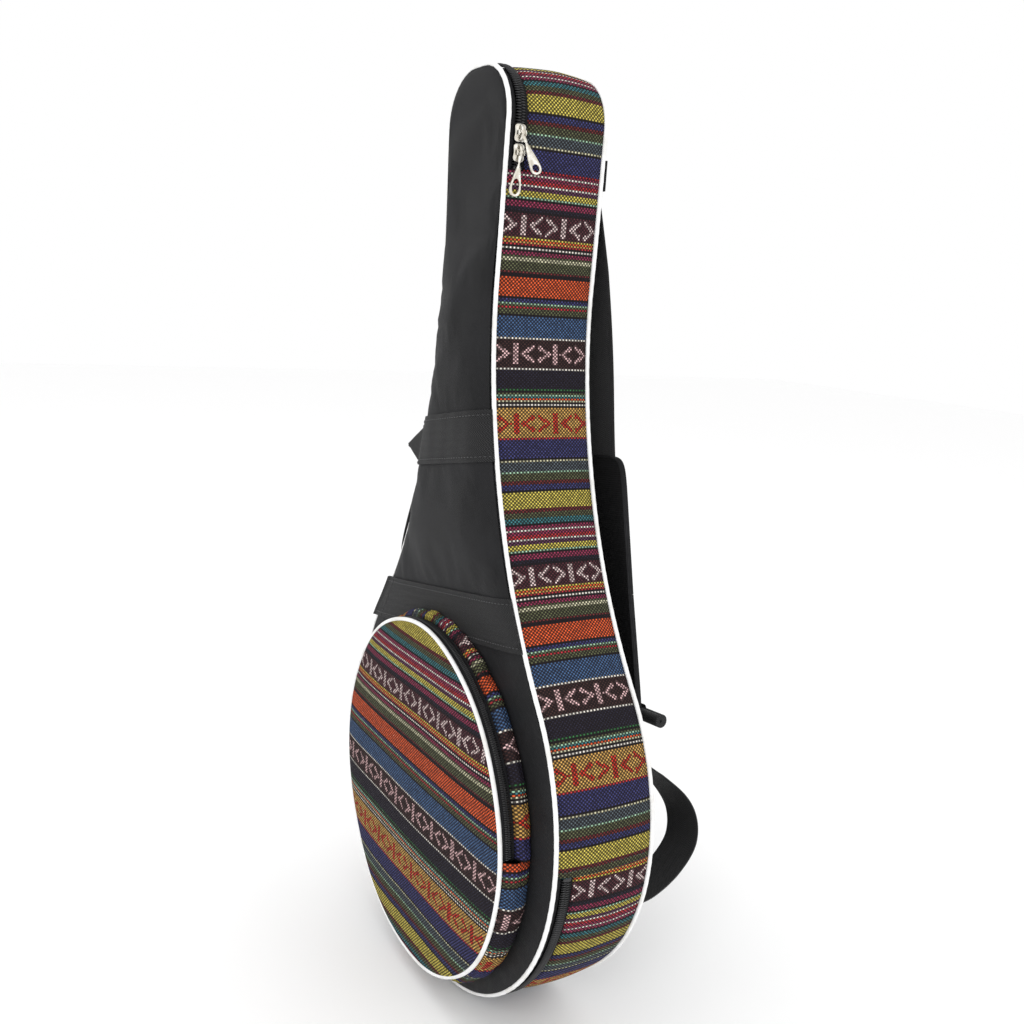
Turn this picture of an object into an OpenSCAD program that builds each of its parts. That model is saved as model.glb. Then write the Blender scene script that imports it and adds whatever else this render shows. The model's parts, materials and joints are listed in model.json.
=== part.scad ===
// Padded gig bag for a small round-bodied lute: pear-shaped case with a folding
// front lid, a round front pocket, a side carry handle and two shoulder straps.
// +Z is up, -Y is the front, +X is the hinge side. The origin is at the bottom
// centre of the whole bag's bounding box.

/* [Case outline] */
// Height of the seam outline, bottom seam to top seam
outline_h = 720; // [640:1:800]
// Radius of the round body at the seam
body_r = 173; // [150:1:190]
// Half width of the neck where it is narrowest
neck_half_w = 41; // [36:1:50]
// Length of the head, from the top seam down to where the neck is narrowest
head_l = 157.4; // [130:0.1:200]
// Half width of the head end
head_half_w = 45; // [40:1:60]
// Corner radius of the head end
head_corner_r = 38; // [24:1:40]
// Depth of the case between the front seam and the rear seam
case_d = 81.5; // [60:0.5:110]

/* [Cloth and padding] */
// Thickness of the outer cloth
skin_t = 1; // [0.6:0.1:2]
// Thickness of the foam
foam_t = 4; // [3:0.5:8]
// Thickness of the lining
lining_t = 0.8; // [0.5:0.1:1.5]
// Diameter of the seam piping
piping_d = 4.4; // [3:0.2:6]

/* [Main zip] */
// How far below the body's centre the zip ends on the hinge side
zip_low_drop = 3; // [-20:1:30]
// Distance from the top seam down to the zip's upper end
zip_high_drop = 74; // [60:1:110]
// Width of tape that shows on each side of the coils
tape_w = 3.2; // [2:0.2:6]
// Width of the two closed coils
coil_w = 7.6; // [5:0.2:10]
// Thickness of the zip tape
tape_t = 1; // [0.6:0.1:1.4]
// Length of a slider
slider_l = 12; // [9:0.5:16]
// Width of a slider
slider_w = 10; // [8:0.5:14]
// Length of a pull tab
pull_l = 30; // [20:1:40]
// Width of a pull tab at its far end
pull_w = 9; // [6:0.5:12]

/* [Front pocket] */
// How much smaller the pocket's radius is than the body's
pocket_inset = 31; // [27:1:60]
// How far below the body's centre the pocket's centre lies
pocket_drop = 14; // [0:1:18]
// Distance from the case's front seam out to the pocket's piping
pocket_d = 26; // [18:1:40]
// Thickness of the padded pocket front
pocket_front_t = 3.5; // [2:0.5:6]
// Angle above the horizontal at which the pocket zip ends
pocket_zip_a = 5; // [0:1:30]
// Width of tape that shows on each side of the pocket zip's coils
pocket_tape_w = 2.2; // [1.5:0.1:4]
// Width of the pocket zip's closed coils
pocket_coil_w = 5; // [4:0.2:8]

/* [Webbing and handle] */
// Width of the webbing sewn across the front
band_w = 38; // [25:1:50]
// Thickness of the webbing
webbing_t = 1.6; // [1:0.1:2.5]
// How far the lower band's centre line lies above the pocket's top
lower_band_rise = 10; // [0:1:30]
// Distance between the two bands, centre line to centre line
band_gap = 139; // [110:1:160]
// Slope of the bands, rising towards the hinge side
band_a = 8; // [0:1:12]
// How far the handle bows out from the case
handle_bow = 14; // [8:1:30]
// Width of the handle webbing
handle_w = 30; // [20:1:40]

/* [Shoulder straps] */
// Distance from the top seam down to the straps' top stitching
strap_top_drop = 80; // [60:1:120]
// Distance of a strap's top from the centre line
strap_top_x = 20; // [17:1:26]
// Angle at which the straps spread
strap_spread_a = 7.2; // [3:0.1:9]
// Width of the upper strap webbing
strap_web_w = 32; // [25:1:34]
// Width of the padded strap
pad_w = 54; // [45:1:70]
// Thickness of the padded strap
pad_t = 9; // [6:0.5:14]
// Height of the strap buckles' lower ends above the body's centre
strap_end_rise = 39.4; // [20:0.1:60]
// Length of the padded strap
pad_l = 215; // [180:1:240]
// Gap between the padded strap's lower end and the back
pad_stand = 30; // [20:1:45]
// Width of the webbing tail
tail_w = 30; // [20:1:38]
// How far the webbing tail loops out from the back
tail_loop = 78; // [50:1:100]
// How far below the body's centre the straps' lower ends are sewn
strap_low_drop = 73; // [50:1:85]
// Distance of the straps' lower ends in from the seam
strap_low_inset = 32.8; // [25:0.1:50]

/* [Hidden] */

$fn = 48;
run_gap = 0.3;                              // clearance between bodies that move
piping_r = piping_d / 2;
wall = skin_t + foam_t + lining_t;
zip_y = piping_r + 2 * tape_w + coil_w;     // depth at which the cloth meets the zip tape
coil_y = piping_r + tape_w + coil_w / 2;    // depth of the coils' centre line
rear_y = case_d + piping_r;                 // outer face of the back panel

// hollow flare: an arc that meets the body's circle and ends upright at the neck
flare_z = outline_h - head_l;
flare_r = (pow(flare_z - body_r, 2) + pow(neck_half_w, 2) - pow(body_r, 2)) / (2 * (body_r - neck_half_w));
flare_x = neck_half_w + flare_r;
flare_a = atan2(flare_z - body_r, flare_x);
head_z = outline_h - head_corner_r;
neck_slope = (head_half_w - neck_half_w) / (head_z - flare_z);

zip_low_z = body_r - zip_low_drop;
zip_high_z = outline_h - zip_high_drop;
pocket_r = body_r - pocket_inset;
pocket_z = body_r - pocket_drop;

// fold of the lid: from the zip's lower end, tangent to the neck's piping
fold_x = sqrt(pow(body_r, 2) - pow(zip_low_z - body_r, 2));
fold_a = atan2(flare_z - zip_low_z, flare_x - fold_x)
    + asin((flare_r + piping_r) / norm([flare_x - fold_x, flare_z - zip_low_z]));

// pocket levels, measured from the front seam; negative is forwards
pocket_hinge_z = pocket_z + pocket_r * sin(pocket_zip_a);
pocket_back_y = -pocket_d + piping_r;
pocket_coil_y = pocket_back_y + pocket_tape_w + pocket_coil_w / 2;
pocket_zip_y = pocket_back_y + 2 * pocket_tape_w + pocket_coil_w;

// the origin is centred between the pocket's face and the webbing tails
tail_y = rear_y + tail_loop;
front_y = -(tail_y - pocket_d - piping_r) / 2;
far = 1000;                                 // beyond the bag in any direction

function arc(cx, cz, r, a0, a1, n) =
    [for (i = [0:n]) let (a = a0 + (a1 - a0) * i / n) [cx + r * cos(a), cz + r * sin(a)]];

// right half of the outline, grown outwards by g
function half_outline(g) = concat(
    arc(0, body_r, body_r + g, -90, flare_a, 36),
    arc(flare_x, flare_z, flare_r - g, 180 + flare_a, 180, 16),
    arc(head_half_w - head_corner_r, head_z, head_corner_r + g, 0, 90, 9));

function mirrored(pts) = [for (i = [len(pts) - 1:-1:1]) [-pts[i][0], pts[i][1]]];

// half width of the right edge at a height on the head
function head_x(z) = neck_half_w + (z - flare_z) * neck_slope;

// half width at a height of the outline grown by g, from the body up to the head's corners
function edge_half(z, g) =
    z < body_r + (body_r + g) * sin(flare_a) ? sqrt(pow(body_r + g, 2) - pow(z - body_r, 2)) :
    z < flare_z ? flare_x - sqrt(pow(flare_r - g, 2) - pow(flare_z - z, 2)) : head_x(z) + g;

module outline(g) polygon(concat(half_outline(g), mirrored(half_outline(g))));

module ring(outer, inner) difference() {
    outline(outer);
    outline(inner);
}

// carries a drawing in X and Z through the depths y0 to y1
module plate(y0, y1) translate([0, y1, 0]) rotate([90, 0, 0]) linear_extrude(y1 - y0) children();

module in_frame() translate([0, front_y, piping_r]) children();

// everything left of the fold line, set back by gap
module left_of_fold(gap) translate([fold_x, zip_low_z]) rotate(fold_a)
    translate([-far, gap]) square([2 * far, far]);

// everything right of the fold line
module right_of_fold() translate([fold_x, zip_low_z]) rotate(fold_a)
    translate([-far, -far]) square([2 * far, far]);

// the hinge side: right of centre, between the zip's ends
module hinge_side() translate([0, zip_low_z]) square([far, zip_high_z - zip_low_z]);

// ---- case back and sides ----

module back_panel() color([0.16, 0.16, 0.17]) in_frame()
    plate(rear_y - skin_t, rear_y) outline(-piping_r);

module back_foam() color([0.75, 0.75, 0.72]) in_frame()
    plate(rear_y - skin_t - foam_t, rear_y - skin_t) outline(-wall);

module back_lining() color([0.3, 0.3, 0.32]) in_frame()
    plate(rear_y - wall, rear_y - skin_t - foam_t) outline(-wall);

module rear_piping() color("white") in_frame()
    plate(case_d - piping_r, case_d + piping_r) ring(piping_r, -piping_r);

module gusset_layer(outer, inner, zip_side, hinge) {
    if (hinge) plate(piping_r, case_d - piping_r) intersection() {
        ring(outer, inner);
        hinge_side();
    }
    if (zip_side) plate(zip_y, case_d - piping_r) difference() {
        ring(outer, inner);
        hinge_side();
    }
}

module hinge_side_gusset() color([0.55, 0.3, 0.25]) in_frame() gusset_layer(0, -skin_t, false, true);

module zip_side_gusset() color([0.35, 0.35, 0.5]) in_frame() gusset_layer(0, -skin_t, true, false);

module hinge_side_foam() color([0.75, 0.75, 0.72]) in_frame()
    gusset_layer(-skin_t, -skin_t - foam_t, false, true);

module zip_side_foam() color([0.75, 0.75, 0.72]) in_frame()
    gusset_layer(-skin_t, -skin_t - foam_t, true, false);

module gusset_lining() color([0.3, 0.3, 0.32]) in_frame()
    gusset_layer(-skin_t - foam_t, -wall, true, true);

// ---- front, divided at the fold into a fixed neck part and a lid ----

// depths of the front's layers, outermost first
front_levels = [-piping_r, -piping_r + skin_t, -piping_r + skin_t + foam_t, -piping_r + wall];

module neck_layer(i, g) plate(front_levels[i], front_levels[i + 1]) intersection() {
    outline(g);
    right_of_fold();
}

module lid_layer(i, g) plate(front_levels[i], front_levels[i + 1]) intersection() {
    outline(g);
    left_of_fold(run_gap);
}

module neck_panel() color([0.16, 0.16, 0.17]) in_frame() neck_layer(0, -piping_r);

module neck_foam() color([0.75, 0.75, 0.72]) in_frame() neck_layer(1, -wall);

module neck_lining() color([0.3, 0.3, 0.32]) in_frame() neck_layer(2, -wall);

module neck_piping() color("white") in_frame() plate(-piping_r, piping_r) intersection() {
    ring(piping_r, -piping_r);
    right_of_fold();
}

module lid_panel() color([0.17, 0.17, 0.18]) in_frame() lid_layer(0, -piping_r);

module lid_foam() color([0.75, 0.75, 0.72]) in_frame() lid_layer(1, -wall - run_gap);

module lid_lining() color([0.3, 0.3, 0.32]) in_frame() lid_layer(2, -wall - run_gap);

module lid_piping() color("white") in_frame() plate(-piping_r, piping_r) intersection() {
    ring(piping_r, -piping_r);
    left_of_fold(run_gap);
}

// ---- main zip ----

tape_g = -0.6;                              // tape lies this far inside the seam outline
coil_half = coil_w / 2 - run_gap / 2;

module zip_strip(y0, y1, outer, inner) plate(y0, y1) difference() {
    ring(outer, inner);
    hinge_side();
}

module zip_tape_shell() color([0.07, 0.07, 0.08]) in_frame()
    zip_strip(zip_y - tape_w, zip_y, tape_g, tape_g - tape_t);

module zip_coil_shell() color([0.1, 0.1, 0.11]) in_frame()
    zip_strip(zip_y - tape_w - coil_half, zip_y - tape_w, run_gap, -2);

module front_strip(y0, y1, outer, inner, on_lid) intersection() {
    zip_strip(y0, y1, outer, inner);
    plate(y0, y1) {
        if (on_lid) left_of_fold(run_gap);
        else right_of_fold();
    }
}

module zip_tape_head() color([0.07, 0.07, 0.08]) in_frame()
    front_strip(piping_r, piping_r + tape_w, tape_g, tape_g - tape_t, false);

module zip_coil_head() color([0.1, 0.1, 0.11]) in_frame()
    front_strip(piping_r + tape_w, piping_r + tape_w + coil_half, run_gap, -2, false);

module zip_tape_lid() color([0.07, 0.07, 0.08]) in_frame()
    front_strip(piping_r, piping_r + tape_w, tape_g, tape_g - tape_t, true);

module zip_coil_lid() color([0.1, 0.1, 0.11]) in_frame()
    front_strip(piping_r + tape_w, piping_r + tape_w + coil_half, run_gap, -2, true);

stop_t = 1.2;

// a bar sewn across the coils at each end of the zip
module zip_stops() color([0.2, 0.2, 0.2]) in_frame() {
    translate([head_x(zip_high_z) + 2 * run_gap, coil_y - coil_w / 2, zip_high_z]) cube([stop_t, coil_w, stop_l]);
    translate([fold_x + 2 * run_gap, coil_y + run_gap, zip_low_z - stop_l]) cube([stop_t, coil_w / 2, stop_l]);
}

foot_t = 1.4;                               // thickness of a slider's foot
pin_x = 3.7;                                // distance of the pull's pin from the foot's inner face
pin_r = 0.8;                                // pin that the pull hangs on
pin_gap = 0.1;
eye_r = 2;                                  // outside of the pull's eye
eye_w = 4.2;                                // length of the eye along the pin
cheek_t = 1.2;
cheek_l = 4;
blade_t = 1.4;
blade_top = 4.6;                            // where the pull widens below its eye
pull_hole = 0.62;                           // share of the pull's width that its hole takes

// A slider at the origin: X points out of the bag, Y across the zip, Z along it.
module slider(w) {
    translate([0, -w / 2, -slider_l / 2]) cube([foot_t, w, slider_l]);
    for (side = [-1, 1]) translate([foot_t, side * (eye_w + cheek_t + run_gap) / 2 - cheek_t / 2, -cheek_l / 2])
        cube([pin_x + 2 * pin_r - foot_t, cheek_t, cheek_l]);
    translate([pin_x, 0, 0]) rotate([90, 0, 0]) cylinder(r = pin_r, h = eye_w + cheek_t + run_gap, center = true);
}

module pull_end(d, t) translate([0, 0, pull_w / 2 - pull_l]) rotate([0, 90, 0]) cylinder(d = d, h = t, center = true);

// Pull tab hanging on its pin; fan turns its blade sideways in the plane of the zip.
module pull(fan) difference() {
    union() {
        rotate([90, 0, 0]) cylinder(r = eye_r, h = eye_w, center = true);
        rotate([fan, 0, 0]) difference() {
            union() {
                translate([-blade_t / 2, -pull_w * 0.12, -blade_top - 1]) cube([blade_t, pull_w * 0.24, blade_top]);
                translate([-blade_t / 2, -pull_w * 0.3, pull_w / 2 - pull_l])
                    cube([blade_t, pull_w * 0.6, pull_l - pull_w / 2 - blade_top]);
                pull_end(pull_w, blade_t);
            }
            pull_end(pull_w * pull_hole, 2 * blade_t);
        }
    }
    rotate([90, 0, 0]) cylinder(r = pin_r + pin_gap, h = 2 * eye_w, center = true);
}

slider_gap = 1.2;
upper_pull_fan = 22;                        // sideways angles at which the pulls hang
lower_pull_fan = -6;
upper_pull_lift = 14;                       // the upper pull lies over the lower slider
stop_l = 3;
lower_slider_z = zip_high_z + 2 * stop_l + slider_l / 2;
upper_slider_z = lower_slider_z + slider_l + slider_gap;
slider_out = run_gap * 2;                   // a slider's foot clears the coils

module at_slider(z) in_frame() translate([head_x(z) + slider_out, coil_y, z])
    rotate([0, atan(neck_slope), 0]) children();

module at_pin(z) at_slider(z) translate([pin_x, 0, 0]) children();

module upper_slider() color("silver") at_slider(upper_slider_z) slider(slider_w);

module lower_slider() color("silver") at_slider(lower_slider_z) slider(slider_w);

module upper_pull() color("silver") at_pin(upper_slider_z) rotate([0, -upper_pull_lift, 0]) pull(upper_pull_fan);

module lower_pull() color("silver") at_pin(lower_slider_z) pull(lower_pull_fan);

// ---- webbing ----

lower_band_z = pocket_z + pocket_r + lower_band_rise;
upper_band_z = lower_band_z + band_gap;

module band_area(z) translate([0, z]) rotate(band_a) square([far, band_w], center = true);

module band(z) plate(-piping_r - webbing_t, -piping_r) intersection() {
    band_area(z);
    outline(piping_r + band_over);
    left_of_fold(run_gap);
}

module upper_band() color([0.06, 0.06, 0.06]) in_frame() band(upper_band_z);

module lower_band() color([0.06, 0.06, 0.06]) in_frame() difference() {
    band(lower_band_z);
    plate(-far, far) translate([0, pocket_z]) circle(pocket_r + piping_r, $fn = 96);
}

// left ends of the two bands, where the handle begins
band_over = 3.3;                            // how far the bands run past the left seam
handle_out = piping_r + band_over + 2 * run_gap;
handle_top_z = upper_band_z - edge_half(upper_band_z, 0) * tan(band_a);
handle_low_z = lower_band_z - edge_half(lower_band_z, 0) * tan(band_a);
handle_top = [-edge_half(handle_top_z, handle_out), handle_top_z];
handle_low = [-edge_half(handle_low_z, handle_out), handle_low_z];

function handle_pt(u, off) = let (
    along = handle_low - handle_top,
    out = [along[1], -along[0]] / norm(along),
    p = handle_top + along * u + out * (handle_bow * sin(180 * u) + off)) p;

module carry_handle() color([0.06, 0.06, 0.06]) in_frame()
    plate(-piping_r + run_gap, -piping_r + run_gap + handle_w) polygon(concat(
        [for (i = [0:12]) handle_pt(i / 12, 0)],
        [for (i = [12:-1:0]) handle_pt(i / 12, webbing_t)]));

// ---- front pocket ----

module pocket_disc(r) translate([0, pocket_z]) circle(r, $fn = 120);

module pocket_ring(outer, inner) difference() {
    pocket_disc(pocket_r + outer);
    pocket_disc(pocket_r + inner);
}

module above_hinge() translate([-far, pocket_hinge_z + run_gap]) square([2 * far, far]);

module below_hinge() translate([-far, pocket_hinge_z - run_gap - far]) square([2 * far, far]);

module pocket_gusset() color([0.5, 0.35, 0.2]) in_frame() {
    plate(pocket_back_y, -piping_r) intersection() {
        pocket_ring(0, -1.5);
        below_hinge();
    }
    plate(pocket_zip_y, -piping_r) difference() {
        pocket_ring(0, -1.5);
        below_hinge();
    }
}

module pocket_face() plate(-pocket_d - piping_r + 0.4, -pocket_d - piping_r + 0.4 + pocket_front_t) children();

module pocket_front_lower() color([0.6, 0.4, 0.2]) in_frame() pocket_face() intersection() {
    pocket_disc(pocket_r - piping_r);
    below_hinge();
}

module pocket_front_flap() color([0.65, 0.5, 0.3]) in_frame() pocket_face() intersection() {
    pocket_disc(pocket_r - piping_r);
    above_hinge();
}

module pocket_edge() plate(-pocket_d - piping_r, -pocket_d + piping_r) intersection() {
    pocket_ring(piping_r, -piping_r);
    children();
}

module pocket_piping_lower() color("white") in_frame() pocket_edge() below_hinge();

module pocket_piping_flap() color("white") in_frame() pocket_edge() above_hinge();

module pocket_strip(y0, y1, outer, inner) plate(y0, y1) intersection() {
    pocket_ring(outer, inner);
    above_hinge();
}

pocket_half = pocket_coil_w / 2 - run_gap / 2;

module pocket_tape_flap() color([0.07, 0.07, 0.08]) in_frame()
    pocket_strip(pocket_back_y, pocket_back_y + pocket_tape_w, tape_g, tape_g - tape_t);

module pocket_coil_flap() color([0.1, 0.1, 0.11]) in_frame()
    pocket_strip(pocket_back_y + pocket_tape_w, pocket_back_y + pocket_tape_w + pocket_half, run_gap, -2);

module pocket_coil_base() color([0.1, 0.1, 0.11]) in_frame()
    pocket_strip(pocket_zip_y - pocket_tape_w - pocket_half, pocket_zip_y - pocket_tape_w, run_gap, -2);

module pocket_tape_base() color([0.07, 0.07, 0.08]) in_frame()
    pocket_strip(pocket_zip_y - pocket_tape_w, pocket_zip_y, tape_g, tape_g - tape_t);

tab_a = 236;                                // where the tab sits round the pocket
tab_size = [14, 20];

// folded webbing tab sewn under the pocket's piping
module pocket_tab() color([0.05, 0.05, 0.05]) in_frame()
    translate([pocket_r * cos(tab_a), pocket_back_y + run_gap, pocket_z + pocket_r * sin(tab_a)])
        rotate([0, -tab_a, 0]) translate([0, 0, -tab_size[1] / 2]) cube([2.4, tab_size[0], tab_size[1]]);

pocket_slider_a = 168;                      // where the closed pocket's slider rests
pocket_slider_out = pocket_r + 1.6;

module at_pocket_slider() in_frame()
    translate([pocket_slider_out * cos(pocket_slider_a), pocket_coil_y, pocket_z + pocket_slider_out * sin(pocket_slider_a)])
        rotate([0, -pocket_slider_a, 0]) children();

module pocket_slider() color("silver") at_pocket_slider() slider(pocket_coil_w + 1.5 * pocket_tape_w);

module pocket_pull() color("silver") at_pocket_slider() translate([pin_x, 0, 0]) mirror([0, 0, 1]) pull(0);

// ---- shoulder straps ----

buckle_l = 26;
strap_top_z = outline_h - strap_top_drop;
strap_web_l = (strap_top_z - body_r - strap_end_rise) / cos(strap_spread_a) - pad_l - buckle_l;
strap_low_z = body_r - strap_low_drop;
strap_low_x = edge_half(strap_low_z, 0) - strap_low_inset;

// a strap's own frame: origin at its top seam, Y away from the back, Z up along it
module strap_frame(side) in_frame() translate([side * strap_top_x, rear_y, strap_top_z])
    rotate([0, -side * strap_spread_a, 0]) children();

// the spread webbing starts this far down, clear of the patch above it
strap_lead = strap_web_w / 2 * sin(strap_spread_a) + 2 * run_gap;

function strap_off(l) = l < strap_web_l
    ? strap_top_off + (pad_off - strap_top_off) * l / strap_web_l
    : pad_off + (pad_stand - pad_off) * sin(90 * (l - strap_web_l) / pad_l);
strap_top_off = 1;                          // how far the strap stands off at its top seam
pad_off = 7;                                // and where the padding starts

// a strip through the points that strap_off gives between two lengths down the strap
module strip(w, l0, l1, t, n) rotate([90, 0, 90]) translate([0, 0, -w / 2]) linear_extrude(w) polygon(concat(
    [for (i = [0:n]) let (l = l0 + (l1 - l0) * i / n) [strap_off(l), -l]],
    [for (i = [n:-1:0]) let (l = l0 + (l1 - l0) * i / n) [strap_off(l) + t, -l]]));

module strap_web(side) color([0.06, 0.06, 0.06]) strap_frame(side)
    strip(strap_web_w, strap_lead, strap_web_l - run_gap, webbing_t, 4);

module strap_pad(side) color([0.1, 0.1, 0.1]) strap_frame(side)
    strip(pad_w, strap_web_l, strap_web_l + pad_l, pad_t, 8);

strap_end = strap_web_l + pad_l;
buckle_t = 4;
buckle_off = 1;                             // the buckle's front face, behind the pad's front
buckle_bar = 4;
roll_r = 6.5;

// ladder lock: two slots with a bar between them
module buckle(side) color([0.04, 0.04, 0.04]) strap_frame(side)
    translate([0, pad_stand + buckle_off, -strap_end - buckle_l - run_gap]) difference() {
        translate([-tail_w / 2 - buckle_bar - 1, 0, 0]) cube([tail_w + 2 * buckle_bar + 2, buckle_t, buckle_l]);
        for (z = [buckle_bar, (buckle_l + buckle_bar) / 2]) translate([-tail_w / 2 - 1, -1, z])
            cube([tail_w + 2, buckle_t + 2, (buckle_l - 3 * buckle_bar) / 2]);
    }

// spare webbing rolled up behind the padded strap's lower end
module webbing_roll(side) color([0.06, 0.06, 0.06]) strap_frame(side)
    translate([0, pad_stand + pad_t + roll_r, -strap_end + roll_r]) rotate([0, 90, 0])
        cylinder(r = roll_r, h = tail_w, center = true);

module strap_anchor_patch() color([0.08, 0.08, 0.08]) in_frame()
    translate([-strap_top_x - strap_web_w / 2 - 4, rear_y, strap_top_z]) cube([2 * strap_top_x + strap_web_w + 8, 1.6, 22]);

strap_end_x = strap_top_x + (strap_end + buckle_l) * sin(strap_spread_a);
strap_end_z = strap_top_z - (strap_end + buckle_l) * cos(strap_spread_a);
tab_h = 24;
tail_lap = 6;                               // how far the tail reaches up behind the buckle
tail_top_z = strap_end_z + tail_lap;
tail_run = tail_top_z - strap_low_z;

// The tail stands off the back by a straight run from the buckle (u = 0) to its tab
// (u = 1), plus a swell whose height puts the loop's furthest point at tail_loop.
tail_steps = 16;
tail_start = pad_stand + buckle_off + buckle_t + run_gap;
tab_t = 2;
function tail_line(u) = (1 - u) * tail_start + u * (tab_t + run_gap);
function tail_swell(u) = pow(sin(180 * u), 1.1);
tail_height = min([for (i = [1:tail_steps - 1]) let (u = i / tail_steps)
    (tail_loop - webbing_t - tail_line(u)) / tail_swell(u)]);
function tail_off(u) = tail_line(u) + tail_height * tail_swell(u);

function tail_pt(i, out) = [tail_off(i / tail_steps) + out, -tail_run * i / tail_steps];

module tail(side) color([0.05, 0.05, 0.05]) in_frame() translate([side * strap_end_x, rear_y, tail_top_z])
    rotate([0, side * -atan((strap_low_x - strap_end_x) / tail_run), 0])
        rotate([90, 0, 90]) translate([0, 0, -tail_w / 2]) linear_extrude(tail_w) polygon(concat(
            [for (i = [0:tail_steps]) tail_pt(i, 0)],
            [for (i = [tail_steps:-1:0]) tail_pt(i, webbing_t)]));

module strap_tab(side) color([0.06, 0.06, 0.06]) in_frame()
    translate([side * strap_low_x - tail_w / 2, rear_y, strap_low_z - tab_h + 4]) cube([tail_w, tab_t, tab_h]);

module right_strap_tab() strap_tab(1);

module left_strap_tab() strap_tab(-1);

module right_tail() tail(1);

module left_tail() tail(-1);

module right_strap_web() strap_web(1);

module left_strap_web() strap_web(-1);

module right_strap_pad() strap_pad(1);

module left_strap_pad() strap_pad(-1);

module right_buckle() buckle(1);

module left_buckle() buckle(-1);

module right_webbing_roll() webbing_roll(1);

module left_webbing_roll() webbing_roll(-1);

back_panel();
back_foam();
back_lining();
rear_piping();
hinge_side_gusset();
zip_side_gusset();
hinge_side_foam();
zip_side_foam();
gusset_lining();
neck_panel();
neck_foam();
neck_lining();
neck_piping();
zip_tape_shell();
zip_coil_shell();
zip_tape_head();
zip_coil_head();
zip_stops();
upper_slider();
upper_pull();
lower_slider();
lower_pull();
lid_panel();
lid_foam();
lid_lining();
lid_piping();
zip_tape_lid();
zip_coil_lid();
upper_band();
lower_band();
carry_handle();
pocket_gusset();
pocket_front_lower();
pocket_piping_lower();
pocket_tape_base();
pocket_coil_base();
pocket_tab();
pocket_front_flap();
pocket_piping_flap();
pocket_tape_flap();
pocket_coil_flap();
pocket_slider();
pocket_pull();
strap_anchor_patch();
right_strap_tab();
left_strap_tab();
right_tail();
left_tail();
right_strap_web();
left_strap_web();
right_strap_pad();
left_strap_pad();
right_buckle();
left_buckle();
right_webbing_roll();
left_webbing_roll();
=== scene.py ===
# Padded gig bag: cloth, piping, zips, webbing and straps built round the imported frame.
import json
import math

import bmesh
import bpy
import numpy as np
from mathutils import Matrix, Vector


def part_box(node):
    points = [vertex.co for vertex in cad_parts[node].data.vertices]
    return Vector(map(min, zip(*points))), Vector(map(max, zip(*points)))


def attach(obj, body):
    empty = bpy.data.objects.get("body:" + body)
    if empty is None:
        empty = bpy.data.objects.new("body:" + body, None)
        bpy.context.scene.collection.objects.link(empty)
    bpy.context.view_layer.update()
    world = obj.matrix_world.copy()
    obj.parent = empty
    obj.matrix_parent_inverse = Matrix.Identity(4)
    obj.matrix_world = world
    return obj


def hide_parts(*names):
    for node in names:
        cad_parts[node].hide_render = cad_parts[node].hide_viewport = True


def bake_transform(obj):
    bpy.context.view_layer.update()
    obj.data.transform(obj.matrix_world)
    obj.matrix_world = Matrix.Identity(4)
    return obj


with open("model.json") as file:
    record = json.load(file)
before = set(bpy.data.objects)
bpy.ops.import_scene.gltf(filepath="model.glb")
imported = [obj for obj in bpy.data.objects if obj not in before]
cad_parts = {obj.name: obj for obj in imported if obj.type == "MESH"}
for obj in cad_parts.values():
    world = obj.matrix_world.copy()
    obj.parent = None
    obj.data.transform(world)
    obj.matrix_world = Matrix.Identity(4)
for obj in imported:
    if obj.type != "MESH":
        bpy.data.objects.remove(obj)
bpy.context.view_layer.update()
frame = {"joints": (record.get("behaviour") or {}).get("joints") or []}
mm = 0.001

# Places read from the frame: the seams' depths and the piping's size set everything else.
pipeLow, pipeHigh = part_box("rear_piping")
neckLow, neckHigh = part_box("neck_piping")
pipingRadius = (pipeHigh.y - pipeLow.y) / 2
cordRadius = 0.78 * pipingRadius
frontSeam = (neckLow.y + neckHigh.y) / 2
rearSeam = (pipeLow.y + pipeHigh.y) / 2
caseDepth = rearSeam - frontSeam
rearFace = caseDepth + pipingRadius
wallThickness = 5.8 * mm

case = {
    "height": pipeHigh.z - pipeLow.z - 2 * pipingRadius,
    "bodyRadius": pipeHigh.x - pipingRadius,
    "neckHalf": 41 * mm,
    "flareRadius": 468 * mm,
    "headHalf": 45 * mm,
    "headCorner": 38 * mm,
    # how far the padded front swells past its seam, at heights up the bag
    "crownAt": np.array([0, 60, 250, 305, 340, 370, 400, 540, 570, 600, 640, 720]) * mm,
    "crown": np.array([2, 1.5, 1.5, 2.5, 6, 11, 13, 12.5, 9.5, 4.5, 1.6, 1.2]) * mm,
    "crownReach": 8.5 * mm,    # distance from the seam over which it swells
    "crownBack": 6 * mm,
    "zipLow": 170 * mm,       # heights of the main zip's ends on the hinge side
    "zipHigh": 646 * mm,
}


def lengthAlong(points):
    # distance from the first point to each point of a line
    step = np.linalg.norm(np.diff(points, axis=0), axis=1)
    return np.concatenate([[0], np.cumsum(step)])


def arcOf(cx, cz, radius, fromAngle, toAngle, side, count):
    # points on a circle and their outward directions; side is -1 on a hollow arc
    a = np.linspace(fromAngle, toAngle, count)
    ray = np.stack([np.cos(a), np.sin(a)], 1)
    return np.array([cx, cz]) + radius * ray, side * ray


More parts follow.
